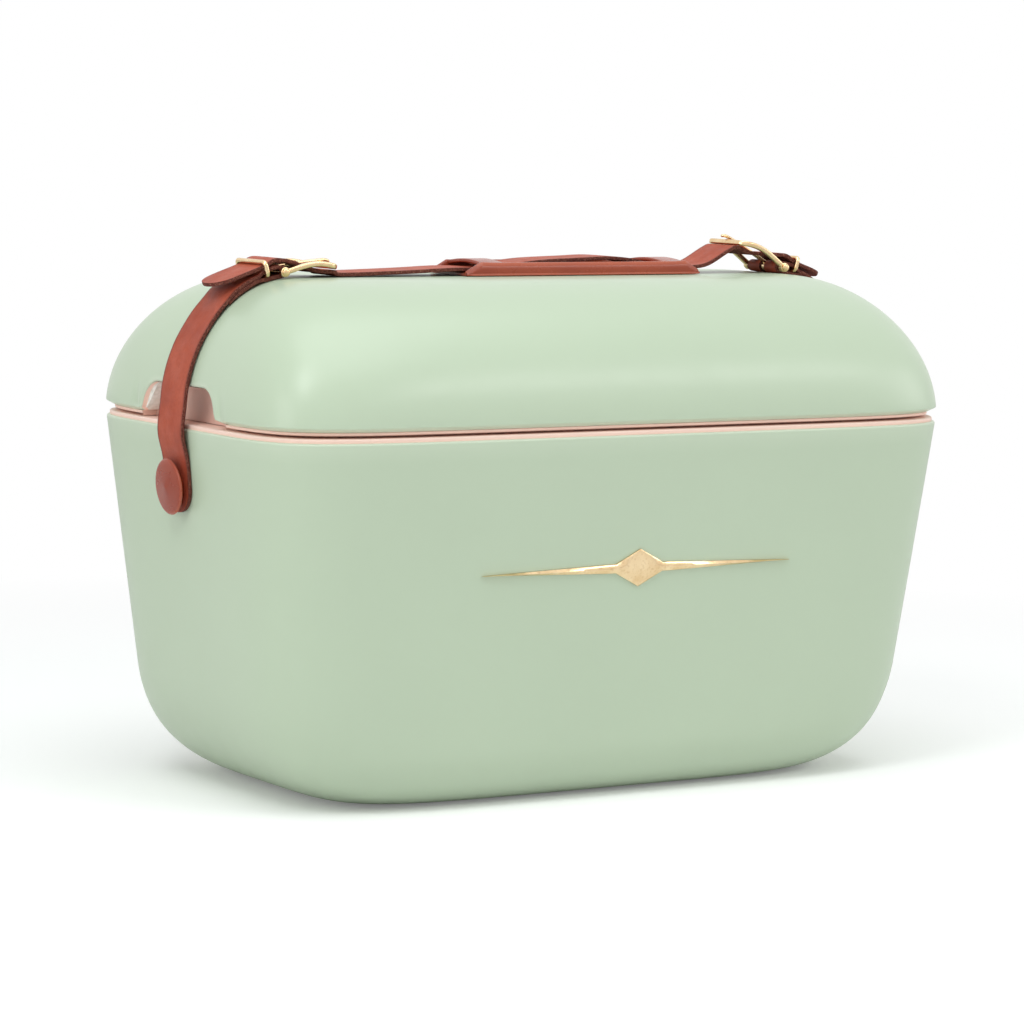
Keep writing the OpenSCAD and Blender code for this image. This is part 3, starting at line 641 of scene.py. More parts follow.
def lid_outer():
    columns = [lid_column(c) for c in range(COLS)]
    rows = 44
    edge = np.stack([c[1] for c in columns])                 # column, row, xyz
    rings = [edge[:, k] for k in range(edge.shape[1] - 1, -1, -1)]
    for k in range(1, rows + 1):
        f = k / rows
        pts = []
        for c, (t0, points) in enumerate(columns):
            start_gap = points[0] - on_lid(c, t0)
            pts.append(on_lid(c, t0 + (math.pi / 2 - t0) * f) + start_gap * max(0.0, 1 - f * 6) ** 2)
        rings.append(np.array(pts))
    rings += [shrunk(rings[-1], k) for k in (0.93, 0.75, 0.5, 0.25)]
    verts, faces = stacked(rings, cap_end=True)
    obj = make("lid_skin", verts, faces, [green], "lid", ["lid_shell"], sharp=50)

    # painted highlight: paler along the lid's lower edge and round the lips of the finger pockets
    def painted_edge_highlight(c):
        near = 0.55 * share(LID_Z + 0.6 - c[:, 2], 1.6)
        y = np.abs(c[:, 1])
        top = np.interp(y, B_POINTS[::-1, 0], B_POINTS[::-1, 1])
        rim = (np.abs(c[:, 0]) > 165) & (y < 44)
        return np.maximum(near, np.where(rim, 0.55 * share(top + 1.9 - c[:, 2], 1.2), 0))

    edge_attribute(obj, painted_edge_highlight)


def lid_inner():
    """The lid's lining: flange, seat, skirt and cavity, with the two finger pockets let into the flange."""
    def flange(d, z, notch):
        q = seam_ring(d, z, FINE)
        y = np.abs(q[:, 1])
        inside = (np.abs(q[:, 0]) > END_X) & (y < POCKET_FOOT)
        q[inside, 0] = np.sign(q[inside, 0]) * np.minimum(np.abs(q[inside, 0]), notch)
        return q

    behind = POCKET_X - 0.6            # the flange stops behind the pocket's back wall
    rings = [flange(d, z, behind - more) for d, z, more in (
        (7.0, LID_EDGE - 0.05, 0), (3.8, LID_EDGE - 0.05, 0), (3.6, LID_EDGE - 0.3, 0),
        (3.6, FLANGE + 0.35, 0), (3.75, FLANGE + 0.1, 0), (4.0, FLANGE, 0.3), (8.0, FLANGE, 0.6),
        (9.0, SEAT_Z, 1.2), (22.4, SEAT_Z, 7.0))]
    c = WALL + 1.4
    rings += [seam_ring(c - 1.0 + u, SEAT_Z - i, FINE) for i, u in arc(4)[1:]]
    rings += [tub_ring(c + d, z, FINE)
              for d, z in ((0, 165.2), (0.3, 164.3), (1, 164), (1.7, 164.3), (2, 165.2))]
    rings += [lid_ring(c + 2, t, FINE) for t in np.linspace(0, math.pi / 2, 18)]
    rings += [shrunk(rings[-1], k) for k in (0.75, 0.4)]
    verts, faces = stacked(rings, cap_end=True)
    parts = [(verts, turned(faces))]
    fillet = 3.0
    s = np.concatenate([np.linspace(0, 1, 36), np.linspace(1, 2, 13)[1:]])
    pts, nrm = bell(s)
    pts = np.vstack([[[POCKET_FOOT, SEAT_Z], [POCKET_FOOT, 177.6]], pts])
    nrm = np.vstack([[[1.0, 0.0], [1.0, 0.0]], nrm])
    blend_n = np.clip((pts[:, 1] - 178.7) / 2.5, 0, 1)[:, None]
    nrm = nrm * blend_n + np.array([[1.0, 0.0]]) * (1 - blend_n)
    nrm /= np.linalg.norm(nrm, axis=1, keepdims=True)
    mirror = np.array([-1, 1])
    loop, loop_n = (np.vstack([a, a[:-1][::-1] * mirror]) for a in (pts, nrm))
    lip = loop - 0.22 * loop_n             # the pink wall stands a little proud of the skin's edge
    for side in (-1, 1):
        start = np.array([(lid_face_x(y, z) - 0.75) if z > LID_EDGE else 186.2 for y, z in loop])
        rows = [np.column_stack([side * start, lip[:, 0], lip[:, 1]])]
        for f in (0.5, 1.0):
            x = start * (1 - f) + (POCKET_X + fillet) * f
            rows.append(np.column_stack([side * x, lip[:, 0], lip[:, 1]]))
        for i, u in arc(7)[1:]:
            q = lip - loop_n * (fillet * i)
            q[:, 1] = np.maximum(q[:, 1], loop[:, 1].min())
            x = np.full(len(q), side * (POCKET_X + fillet * (1 - u)))
            rows.append(np.column_stack([x, q[:, 0], q[:, 1]]))
        last = rows[-1]
        for wide, high in ((0.8, 0.9), (0.5, 0.6), (0.2, 0.3), (0.0, 0.1)):
            q = last.copy()
            q[:, 1] *= wide
            q[:, 2] = SEAT_Z + (last[:, 2] - SEAT_Z) * high
            rows.append(q)
        f = grid(len(rows), len(loop), closed=False)
        parts.append((np.concatenate(rows), f if side < 0 else turned(f)))
    verts, faces = joined(parts)
    obj = make("lid_lining", verts, faces, [pink], "lid", ["lid_liner"])
    edge_attribute(obj, lambda c: np.zeros(len(c)))


lid_outer()
lid_inner()

# ---------- side view of the strap ----------

PIN_WRAP = PIN_R + 0.15
WRAP_MID, WRAP_OUT = PIN_WRAP + STRAP_T / 2, PIN_WRAP + STRAP_T


def shoulder_at(x):
    return math.acos((x - HL + SX) / SX) if x > HL - SX else math.pi / 2


def lid_point(t, off):
    n = unit([math.cos(t) / SX, math.sin(t) / DOME])
    return np.array([HL - SX + SX * math.cos(t), LID_Z + DOME * math.sin(t)]) + off * n


PIN_Z = LID_Z + DOME * math.sin(shoulder_at(PIN_X)) + SLACK + WRAP_OUT
KEEPER_X = PIN_X + 7
KEEPER_T, RIVET_T = shoulder_at(KEEPER_X), shoulder_at(KEEPER_X + 7)
KEEPER_LOW = SLACK + STRAP_T + TOUCH + KEEPER_WIRE / 2
STRAP_OFF = KEEPER_LOW + KEEPER_WIRE / 2 + TOUCH + STRAP_T / 2
TAIL_OFF = STRAP_OFF + STRAP_T + 2 * TOUCH
KEEPER_HIGH = TAIL_OFF + STRAP_T / 2 + TOUCH + KEEPER_WIRE / 2
FLAP_OFF, REST_OFF = SLACK + STRAP_T / 2, 0.8 + STRAP_T / 2
FLAP_TIP = SLACK + 0.8            # the flap's end is pared thin and lies close to the lid
FLAP_RIVET = SLACK + 0.8 + STRAP_T / 2
STRAP_RIVET = FLAP_RIVET + STRAP_T + TOUCH
LEAN = math.atan(END_LEAN)
FLAP_END = 15.0                   # degrees of shoulder that the folded flap runs on beyond the rivet


def wall_point(z, off):
    return np.array([HL - END_LEAN * (RIM - z), z]) + off * np.array([math.cos(LEAN), -math.sin(LEAN)])


def spline(p, k=12):
    p = [np.asarray(q, float) for q in p]
    out = []
    for i in range(len(p) - 1):
        a, b, c, d = p[max(i - 1, 0)], p[i], p[i + 1], p[min(i + 2, len(p) - 1)]
        for j in range(k):
            t = j / k
            out.append(0.5 * (2 * b + (c - a) * t + (2 * a - 5 * b + 4 * c - d) * t * t
                              + (3 * b - a - 3 * c + d) * t ** 3))
    return np.array(out + [p[-1]])


def shoulder(beyond, off):
    """A place off the lid's shoulder, so many degrees beyond the rivet."""
    return lid_point(RIVET_T + beyond * DEG, off)


def side_line():
    on_wall = SLACK + STRAP_T / 2
    settle = RIVET_T - FLAP_END * DEG
    line = [wall_point(STUD_Z - STRAP_W / 2, on_wall), wall_point(STUD_Z, on_wall),
            wall_point(STUD_Z + STRAP_W / 2, on_wall + 0.2), wall_point(RIM - 4, 2.2 + STRAP_T / 2)]
    line += [lid_point(t, REST_OFF) for t in np.linspace(4 * DEG, settle - 20 * DEG, 5)]
    line += [lid_point(settle - 9 * DEG, REST_OFF + 0.25), lid_point(settle, FLAP_TIP + 1.4),
             shoulder(-FLAP_END * 0.55, STRAP_RIVET - 0.35), shoulder(0, STRAP_RIVET),
             shoulder(4, STRAP_RIVET + 0.05), lid_point(KEEPER_T, STRAP_OFF)]
    return line + [np.array([PIN_X + 2.5, PIN_Z + WRAP_MID - 0.1])]


def flap_line():
    return [np.array([PIN_X, PIN_Z - WRAP_MID]), lid_point(shoulder_at(PIN_X + 4), FLAP_OFF),
            lid_point(KEEPER_T, FLAP_OFF), shoulder(4, FLAP_RIVET), shoulder(0, FLAP_RIVET),
            shoulder(-FLAP_END * 0.55, FLAP_RIVET - 0.3), shoulder(-FLAP_END, FLAP_TIP)]


def frame_point(tilt, u, v):
    return np.array([PIN_X - u * math.cos(tilt) + v * math.sin(tilt),
                     PIN_Z + u * math.sin(tilt) + v * math.cos(tilt)])


BOW_R = (FRAME_LEN ** 2 / 4 + FRAME_BOW ** 2) / (2 * FRAME_BOW)
BOW_ANGLE = math.asin(FRAME_LEN / 2 / BOW_R)
STRAP_IN_GRIP = LID_TOP + SLACK + 1.8 + SLACK + STRAP_T / 2


def tail_line(side):
    tilt, length = TILT[side], TAIL_LEN[side]
    k = lid_point(KEEPER_T, TAIL_OFF)
    d = np.array([math.cos(TAIL_DROOP), -math.sin(TAIL_DROOP)])
    over, under = WRAP_OUT + TOUCH + STRAP_T / 2, -FRAME_T / 2 - SLACK - STRAP_T / 2
    deg = tilt / DEG
    arch = 1.1 + deg * 0.02
    low = tilt - BOW_ANGLE
    return [k + d * length, k + d * length / 2, k, np.array([PIN_X + 4, PIN_Z + over + arch]),
            np.array([PIN_X - 1, PIN_Z + over + arch + deg * 0.02]), frame_point(tilt, 7, over - 0.4),
            frame_point(tilt, FRAME_LEN - 9, -1.2), frame_point(tilt, FRAME_LEN, under),
            frame_point(low, FRAME_LEN, under) - frame_point(low, FRAME_LEN, 0)
            + frame_point(tilt, FRAME_LEN, 0) - np.array([6, 1.4])]


def centre_line():
    a, b = GRIP_X - GRIP_LEN / 2, GRIP_X + GRIP_LEN / 2
    flip = np.array([-1.0, 1.0])
    return ([q * flip for q in tail_line("left")]
            + [np.array([x, STRAP_IN_GRIP + dz]) for x, dz in (
                (a - 27, -1.0), (a - 3, 0.0), (a + 14, 0.0), (a + 26, 1.3), (a + 45, 3.4), (a + 68, 4.3),
                (a + 85, 4.8), (a + 100, 3.4), (a + 112, 0.5), (b - 14, 0.0), (b - 1, 0.1), (b + 9, 1.7))]
            + tail_line("right")[::-1])


def even(line, stations):
    s = np.concatenate([[0], np.cumsum(np.linalg.norm(np.diff(line, axis=0), axis=1))])
    return np.column_stack([np.interp(stations, s, line[:, k]) for k in range(2)])


def stations(length, first, last, step):
    """Places along a strap, close together at its ends."""
    head = [0.0]
    while head[-1] < first:
        head.append(head[-1] + 0.12 + 0.10 * len(head) ** 0.9)
    tail = [length]
    while length - tail[-1] < last:
        tail.append(tail[-1] - (0.12 + 0.10 * len(tail) ** 0.9))
    n = max(2, int((tail[-1] - head[-1]) / step))
    return np.concatenate([head[:-1], np.linspace(head[-1], tail[-1], n), tail[-2::-1]])


def strap(line, half_width, first, last, step, seed, across=15, pared=0.0):
    """A strip of leather along a side view: its top is grain, its cut sides are rough, its back is suede.
    Over the last length, pared, it grows thinner to its end."""
    total = np.linalg.norm(np.diff(line, axis=0), axis=1).sum()
    s = stations(total, first, last, step)
    p = even(line, s)
    tan = tangents(p, s)
    nrm = np.column_stack([-tan[:, 1], tan[:, 0]])
    if nrm[len(nrm) // 3].dot([0.3, 1]) < 0:
        nrm = -nrm
    g = np.random.default_rng(seed)

    def rough():
        return g.uniform(-0.07, 0.07)

    def rough_side(sign, w, e, t):
        edge = sign * (w - 0.3 * e)
        side = [(sign * x + rough(), sign * z + rough())
                for x, z in ((w, -0.53 * t), (w + 0.02, 0.0), (w, 0.53 * t))]
        return [(edge, -0.9 * sign * t)] + side + [(edge, 0.9 * sign * t)]

    rings = []
    for i in range(len(s)):
        w = max(0.25, half_width(s[i], total))
        e = min(0.34, w * 0.5)
        thin = max(0.0, 1 - (total - s[i]) / pared) if pared else 0.0
        t = STRAP_T / 2 * (1 - 0.62 * thin)
        top = [(y, t - 0.05 * (abs(y) / w) ** 6) for y in np.linspace(w - e, -(w - e), across)]
        bottom = [(y, -t) for y in np.linspace(-(w - e), w - e, across)]
        prof = np.array(top + rough_side(-1, w, e, t) + bottom + rough_side(1, w, e, t))
        xz = p[i] + prof[:, 1:2] * nrm[i]
        rings.append(np.column_stack([xz[:, 0], prof[:, 0], xz[:, 1]]))
    verts, faces = capped(rings)
    m = len(rings[0])
    kind = np.array([0] * (across - 1) + [1] * 6 + [2] * (across - 1) + [1] * 6)
    index = np.concatenate([np.tile(kind, len(rings) - 1), np.full(2 * m, 1)])
    mid = len(rings) // 2
    a, b, c = (verts[k] for k in faces[mid * m + 3][:3])
    if np.dot(np.cross(b - a, c - a), [nrm[mid][0], 0, nrm[mid][1]]) < 0:
        faces = turned(faces)
    return verts, faces, index


def rounded_rect(w, h, r, k=4):
    pts = []
    for i, (sx, sy) in enumerate(((1, 1), (-1, 1), (-1, -1), (1, -1))):
        for j in range(k + 1):
            a = (90 * i + 90 * j / k) * DEG
            pts.append((sx * (w / 2 - r) + r * math.cos(a), sy * (h / 2 - r) + r * math.sin(a)))
    return np.array(pts)


def circle(r, k):
    a = np.arange(k) / k * 2 * math.pi
    return np.column_stack([r * np.cos(a), r * np.sin(a)])


def lathe(profile, origin, axis, steps):
    """A body of revolution from a profile of radii and heights along the axis."""
    axis = unit(axis)
    a = unit(np.cross(axis, [0.1, 0.9, 0.3]))
    b = np.cross(axis, a)
    ang = np.arange(steps) / steps * 2 * math.pi
    around = np.cos(ang)[:, None] * a + np.sin(ang)[:, None] * b
    return stacked([np.array(origin) + axis * h + r * around for r, h in profile])


def smooth_profile(points, r=0.3, k=4):
    """Rounds the corners of a lathe profile."""
    p = [np.asarray(q, float) for q in points]
    out = [p[0]]
    for a, b, c in zip(p, p[1:], p[2:]):
        la, lc = np.linalg.norm(a - b), np.linalg.norm(c - b)
        cutback = min(r, la * 0.45, lc * 0.45)
        s, e = b + (a - b) / la * cutback, b + (c - b) / lc * cutback
        for j in range(k + 1):
            t = j / k
            out.append((1 - t) ** 2 * s + 2 * t * (1 - t) * b + t * t * e)
    return out + [p[-1]]


# ---------- leather ----------

TONGUE = 11.0                             # length of a tongue's rounding
SPLIT_X = GRIP_X + GRIP_LEN / 2 - 14.9    # the strap is split here, below the grip's right bridge


def foot_width(s, total):
    r = STRAP_W / 2
    return math.sqrt(max(0.0, r * r - (r - s) ** 2)) if s < r else r


def tongue_width(s, total):
    d = min(s, total - s) * math.cos(TAIL_DROOP)
    c = max(0.0, (TONGUE - d) / TONGUE) ** 1.25
    return STRAP_W / 2 * math.sqrt(max(0.0, 1 - c * c)) ** 0.94


def leather_wear(obj):
    edge_attribute(obj, lambda c: 0.9 * share(np.abs(c[:, 1]) - STRAP_W / 2 + 1.1, 0.8))


def side_strap(side):
    """Leather from the stud up to the pin, round it and back as a flap, with a slot for the prong."""
    wrap = [[PIN_X, PIN_Z] + WRAP_MID * np.array([math.cos(a * DEG), math.sin(a * DEG)])
            for a in range(90, 265, 8)]
    line = np.vstack([spline(side_line()), wrap, spline(flap_line())])
    verts, faces, index = strap(line, foot_width, 12, 1, 0.55, seed={"left": 3, "right": 5}[side], pared=8.0)
    obj = make("leather_side_" + side, mirror_x(verts, side), flipped(faces, side), LEATHER, None,
               mat_index=index)
    sg = SIGN[side]
    box = np.array([[sg * x, y, z] for x in (PIN_X - 2 * WRAP_OUT, PIN_X + 5.8) for y in (-2.1, 2.1)
                    for z in (PIN_Z - 5.6, PIN_Z + 6)], float)
    quads = [(0, 1, 3, 2), (4, 6, 7, 5), (0, 4, 5, 1), (2, 3, 7, 6), (0, 2, 6, 4), (1, 5, 7, 3)]
    cut(obj, box, flipped(quads, side), raw_edge)
    leather_wear(obj)
    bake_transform(obj)
    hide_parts("side_strap_" + side)


def slot_tool(side):
    """A prism with round ends that stands across a tongue, where the prong goes through it."""
    sg, tilt = SIGN[side], TILT[side]
    c, q = math.cos(tilt), math.sin(tilt)
    x, z = frame_point(tilt, 7.6, 0)
    at = np.array([sg * x, 0, z])
    along, across, up = np.array([-sg * c, 0, q]), np.array([0, -sg, 0.0]), np.array([sg * q, 0, c])
    straight, r, depth = 7.9, 2.1, 8
    outline = [(e * straight + r * math.cos(a) * e, r * math.sin(a) * e)
               for e in (1, -1) for a in np.linspace(-math.pi / 2, math.pi / 2, 12)]
    n = len(outline)
    verts = [at + along * u + across * v + up * d for d in (depth, -depth) for u, v in outline]
    walls = [(i, i + n, (i + 1) % n + n, (i + 1) % n) for i in range(n)]
    return np.array(verts), [tuple(range(n)), tuple(range(2 * n - 1, n - 1, -1))] + walls


def halved(obj, x, sign):
    """Keeps the part of obj on one side of the plane at x, and closes it there."""
    def halve(bm):
        bmesh.ops.bisect_plane(bm, geom=bm.verts[:] + bm.edges[:] + bm.faces[:], plane_co=(x * MM, 0, 0),
                               plane_no=(sign, 0, 0), clear_outer=True)
        made = bmesh.ops.edgeloop_fill(bm, edges=[e for e in bm.edges if e.is_boundary])
        for f in made["faces"]:
            f.material_index = 1
        bmesh.ops.triangulate(bm, faces=made["faces"])

    edited(obj, halve, outwards)


def centre_strap():
    """The strap over the lid, in two halves split below the grip's right bridge, each closed at its cut."""
    verts, faces, index = strap(spline(centre_line(), 14), tongue_width, 15, 15, 1.0, seed=9)
    obj = make("leather_centre", verts, faces, LEATHER, None, mat_index=index)
    for side in SIDES:
        cut(obj, *slot_tool(side), raw_edge)
    leather_wear(obj)
    other = obj.copy()
    other.data = obj.data.copy()
    bpy.context.scene.collection.objects.link(other)
    obj.name, other.name = "leather_centre_left", "leather_centre_right"
    for half, sign, start, end in ((obj, 1, -114.0, -20.0), (other, -1, 114.0, 82.0)):
        halved(half, SPLIT_X, sign)
        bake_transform(half)
        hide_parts("centre_strap")


for side in SIDES:
    side_strap(side)
centre_strap()

# ---------- metal ----------


def shoulder_frame(t):
    p = lid_point(t, 0)
    n = unit([math.cos(t) / SX, math.sin(t) / DOME])
    return np.array([p[0], 0, p[1]]), np.array([n[0], 0, n[1]])


def frame_place(side, u, y, v):
    q = frame_point(TILT[side], u, v)
    return np.array([q[0] * SIGN[side], y, q[1]])


def frame_rise(u):
    """Height of the frame's middle above its chord: it rises towards the outer bar and curls down at it."""
    f = np.clip(u / FRAME_LEN, 0, 1)
    return FRAME_BOW * math.sin(math.pi * f ** 1.25)


def on_pin(side, profile, y, steps):
    return lathe(profile, [SIGN[side] * PIN_X, y, PIN_Z], [0, 1, 0], steps)


def eye_profile(outer, half, rounding):
    """Section of an eye round the pin."""
    return smooth_profile([(PIN_R, -half), (outer, -half), (outer, half), (PIN_R, half)], rounding)


def fitting(piece, side, body, node, verts, faces):
    name, body, node = ("%s_%s" % (k, side) for k in ("gold_" + piece, body, node))
    make(name, verts, faces, [gold], body, [node])


def buckle_frame(side):
    tilt, sg = TILT[side], SIGN[side]
    yc, rc = STRAP_W / 2 + 1.1 + ARM_W / 2, 4.4    # the arms' middle and the corners' radius
    bend = FRAME_LEN - rc
    plan = [(u, -yc) for u in np.linspace(0.0, bend, 18)]
    plan += [(bend + rc * math.sin(a), -yc + rc - rc * math.cos(a))
             for a in np.linspace(0, math.pi / 2, 10)[1:]]
    arm = list(plan)
    plan += [(FRAME_LEN, y) for y in np.linspace(-yc + rc, yc - rc, 9)[1:-1]]
    plan += [(u, -y) for u, y in reversed(arm)]
    path, ups = [], []
    for u, y in plan:
        path.append(frame_place(side, u, y, frame_rise(u)))
        n = unit([(frame_rise(u - 0.1) - frame_rise(u + 0.1)) / 0.2, 1.0])
        a, b = frame_point(tilt, n[0], n[1]) - frame_point(tilt, 0, 0)
        ups.append([a * sg, 0, b])
    path, ups = np.array(path), np.array(ups)
    across = np.cross(tangents(path), ups)
    across /= np.linalg.norm(across, axis=1, keepdims=True)
    prof = rounded_rect(ARM_W, FRAME_T, 0.75)
    rings = [p + prof[:, :1] * a + prof[:, 1:] * b for p, a, b in zip(path, across, ups)]
    parts = [capped(rings)]
    parts += [on_pin(side, eye_profile(2.35, ARM_W / 2, 0.8), y, 40) for y in (-yc, yc)]
    fitting("frame", side, "frame", "buckle_frame", *joined(parts))


def buckle_pin(side):
    half = STRAP_W / 2 + 1.1 + ARM_W + 1.2
    knob = [(0, -half - 0.35), (1.1, -half - 0.2), (1.75, -half + 0.25), (1.9, -half + 0.6),
            (1.75, -half + 0.95), (PIN_R, -half + 1.15)]
    prof = smooth_profile(knob + [(r, -h) for r, h in reversed(knob)], 0.25, 3)
    fitting("pin", side, "strap", "buckle_pin", *on_pin(side, prof, 0, 36))


def buckle_prong(side):
    """A wire with an eye round the pin; it rests on the frame's outer bar, past which its tip droops."""
    t, eye = 1.6, PIN_R + 1.2         # the wire's thickness and the eye's outer radius
    lift = FRAME_T / 2 + ARM_W / 2 * math.tan(BOW_ANGLE) + TOUCH + t / 2
    line = ((-0.6, eye - t / 2 - 0.15), (1.5, eye - t / 2 - 0.1), (6, lift - 0.95), (13, lift - 0.5),
            (20, lift - 0.1), (FRAME_LEN, lift), (FRAME_LEN + 2.4, lift - 0.35),
            (FRAME_LEN + 3.9, lift - 1.3))
    pts = spline([np.array(q, float) for q in line], 6)
    path = np.array([frame_place(side, u, 0, v) for u, v in pts])
    across = np.array([0.0, 1.0, 0.0])
    ups = np.cross(across, tangents(path)) * SIGN[side]
    rings = []
    last = len(path) - 1
    tip = last - 4                    # from here on the wire is rounded off
    for i in range(last + 1):
        w, h = 3.1 - 0.9 * i / last, t - 0.1 * i / last
        if i > tip:
            shrink = math.sqrt(max(0.05, 1 - ((i - tip) / 4.2) ** 2))
            w, h = w * shrink, h * shrink
        prof = rounded_rect(w, h, 0.49 * h, 5)
        rings.append(path[i] + prof[:, :1] * across + prof[:, 1:] * ups[i])
    parts = [capped(rings), on_pin(side, eye_profile(eye, 1.6, 0.6), 0, 40)]
    fitting("prong", side, "prong", "buckle_prong", *joined(parts))


def keeper(side):
    """A closed wire loop round the side strap and the tail, with rounded corners."""
    p, n = shoulder_frame(KEEPER_T)
    hw, rc = STRAP_W / 2 + 0.5 + KEEPER_WIRE / 2, 1.7    # half the loop's width and its corners' radius
    y, high, low = hw - rc, KEEPER_HIGH - rc, KEEPER_LOW + rc
    loop = []
    for i, (cy, ch) in enumerate(((y, high), (-y, high), (-y, low), (y, low))):
        for j in range(9):
            a = (90 * i + 90 * j / 8) * DEG
            loop.append((cy + rc * math.cos(a), ch + rc * math.sin(a), math.cos(a), math.sin(a)))
        if i in (0, 2):
            y0, h0, ny, nh = loop[-1]
            loop += [(y0 - (cy + y0) * f, h0, ny, nh) for f in np.linspace(0, 1, 14)[1:-1]]
    tvec = np.cross([0, 1, 0], n)
    c = circle(KEEPER_WIRE / 2, 18)
    rings = []
    for cy, ch, ny, nh in loop:
        centre = p + n * ch + np.array([0, cy, 0])
        rings.append(centre + c[:, :1] * unit(np.array([0, ny, 0]) + n * nh) + c[:, 1:] * tvec)
    verts, faces = stacked(rings + rings[:1])
    fitting("keeper", side, "strap", "strap_keeper", mirror_x(verts, side), flipped(faces, side))


def rivet(side):
    p, n = shoulder_frame(RIVET_T)
    top = STRAP_RIVET + STRAP_T / 2 + TOUCH
    prof = smooth_profile([(0, 0.25), (3.4, 0.25), (3.4, 1.0), (1.5, 1.0), (1.5, top - 0.05),
                           (4.0, top - 0.05), (4.0, top + 0.45), (3.2, top + 0.95), (1.8, top + 1.2),
                           (0, top + 1.28)], 0.35)
    verts, faces = lathe(prof, p, n, 64)
    fitting("rivet", side, "strap", "strap_rivet", mirror_x(verts, side), flipped(faces, side))


for side in SIDES:
    buckle_frame(side)
    buckle_pin(side)
    buckle_prong(side)
    keeper(side)
    rivet(side)

# ---------- studs ----------


def studs():
    c0 = SLACK + STRAP_T + 0.2        # above the leather, from the wall outwards
    h0 = c0 + 2.9                     # foot of the head
    h1 = h0 + 1.6                     # edge of the head's cone
    prof = smooth_profile([(0, -16.5), (4, -16.5), (4, c0), (8, c0), (8, h0 - 0.8), (9.6, h0), (12.6, h0),
                           (13.2, h0 + 0.6), (13.2, h1 - 0.7), (12.6, h1 - 0.05), (11.2, h1 + 0.22),
                           (0.6, h1 + 1.46), (0, h1 + 1.5)], 0.6, 5)
    x, z = wall_point(STUD_Z, 0)
    v, f = lathe(prof, [x, 0, z], [math.cos(LEAN), 0, -math.sin(LEAN)], 128)
    verts, faces = joined([(mirror_x(v, side), flipped(f, side)) for side in SIDES])
    obj = make("brown_studs", verts, faces, [brown], "tub", ["strap_studs"])
    # painted highlight round the rim of each stud's head
    edge_attribute(obj, lambda c: 0.4 * share(np.hypot(c[:, 1], c[:, 2] - STUD_Z) - 12.3, 0.8))


studs()

# ---------- badge ----------


def badge():
    """A long bar, pointed at both ends, with a lozenge in its middle; its upper face is bevelled."""
    half, bar, w, h = 86.0, 2.1, 17.0, 9.0      # half measures of the bar and of the lozenge
    xi = w * (1 - bar / h)
    outline = [(half, 0), (w, -bar), (xi, -bar), (0, -h), (-xi, -bar), (-w, -bar), (-half, 0), (-w, bar),
               (-xi, bar), (0, h), (xi, bar), (w, bar)]
    lean, z0, sharp = math.atan(SIDE_LEAN), 111.0, 25
    at = np.array([0, -tub_half(HD, SIDE_LEAN, SIDE_R, 0, z0), z0])
    along, up = np.array([1.0, 0, 0]), np.array([0, -math.sin(lean), math.cos(lean)])
    out = np.array([0, -math.cos(lean), -math.sin(lean)])
    dense = []
    for (x0, y0), (x1, y1) in zip(outline, outline[1:] + outline[:1]):
        n = max(1, int(math.hypot(x1 - x0, y1 - y0) / 3))
        dense += [(x0 + (x1 - x0) * k / n, y0 + (y1 - y0) * k / n) for k in range(n)]
    inset = [(x * 0.994, y - math.copysign(min(abs(y) * 0.35, 0.5), y)) for x, y in dense]
    rows = ((dense, TOUCH), (dense, 0.8), (inset, 1.15), ([(x, y * 0.22) for x, y in inset], 1.6))
    verts = [at + along * x + up * y + out * d for row, d in rows for x, y in row]
    n = len(dense)
    faces = grid(len(rows), n) + [tuple(range(3 * n, 4 * n)), tuple(reversed(range(n)))]
    obj = make("gold_badge", verts, faces, [gold], "tub", ["front_badge"], sharp=sharp)
    edited(obj, outwards,
           lambda bm: bmesh.ops.triangulate(bm, faces=[f for f in bm.faces if len(f.verts) > 4]))
    obj.data.set_sharp_from_angle(angle=math.radians(sharp))


badge()

# ---------- grip ----------


def grip_rim(side):
    """One side rim of the grip: a bar with a lip at its foot, a bevelled top and slanted ends."""
    half, rim_w = GRIP_LEN / 2, 3.4
    out = GRIP_W / 2
    xs = np.concatenate([np.linspace(0, 0.5, 4), np.linspace(0.9, 9.5, 18), np.linspace(11, half, 26)])
    xs = np.concatenate([xs - half, (half - xs)[::-1][1:]])
    rings = []
    for x in xs:
        d = half - abs(x)
        h = GRIP_H * (0.34 + 0.66 * min(1.0, d / 8.2)) if d < 8.2 else GRIP_H
        h += 0.25 * math.exp(-((d - 9.0) / 3.5) ** 2)
        taper = 0.9 * math.exp(-d / 1.0)
        y1, y0 = out - taper, out - rim_w + 0.3 * taper
        prof = [(y0, 0.1), (y1 - 0.5, 0.0), (y1 + 0.25, 0.1), (y1 + 0.35, 0.45), (y1 + 0.2, 0.85),
                (y1 - 0.12, 1.15), (y1 - 0.05, h * 0.45), (y1 - 0.2, h - 1.75), (y1 - 0.38, h - 1.45),
                (y1 - 1.15, h - 0.3), (y1 - 1.4, h - 0.1), (y1 - 1.75, h), (y0 + 0.7, h),
                (y0 + 0.25, h - 0.15), (y0, h - 0.55), (y0, h * 0.5)]
        rings.append(np.array([(x, side * y, z) for y, z in prof]))
    v, f = capped(rings)
    return v, f if side < 0 else turned(f)


def grip_bridge(end):
    """The arched band over the strap near one end, with rounded long edges."""
    half, w, t, rise = GRIP_W / 2 - 1.6, 12.5, 1.8, 1.5
    x0 = end * (GRIP_LEN / 2 - 8.6 - w / 2)
    rings = []
    for k in np.linspace(-1, 1, 41):
        a = math.pi / 2 * k
        z = GRIP_H - t / 2 - 0.15 + rise * math.cos(a)
        n = unit([rise * math.pi / 2 * math.sin(a) / half, 1.0])
        prof = rounded_rect(w + 1.6 * abs(k) ** 6, t, 0.6)
        rings.append(np.array([(x0 + u, half * k + n[0] * v, z + n[1] * v) for u, v in prof]))
    return capped(rings)


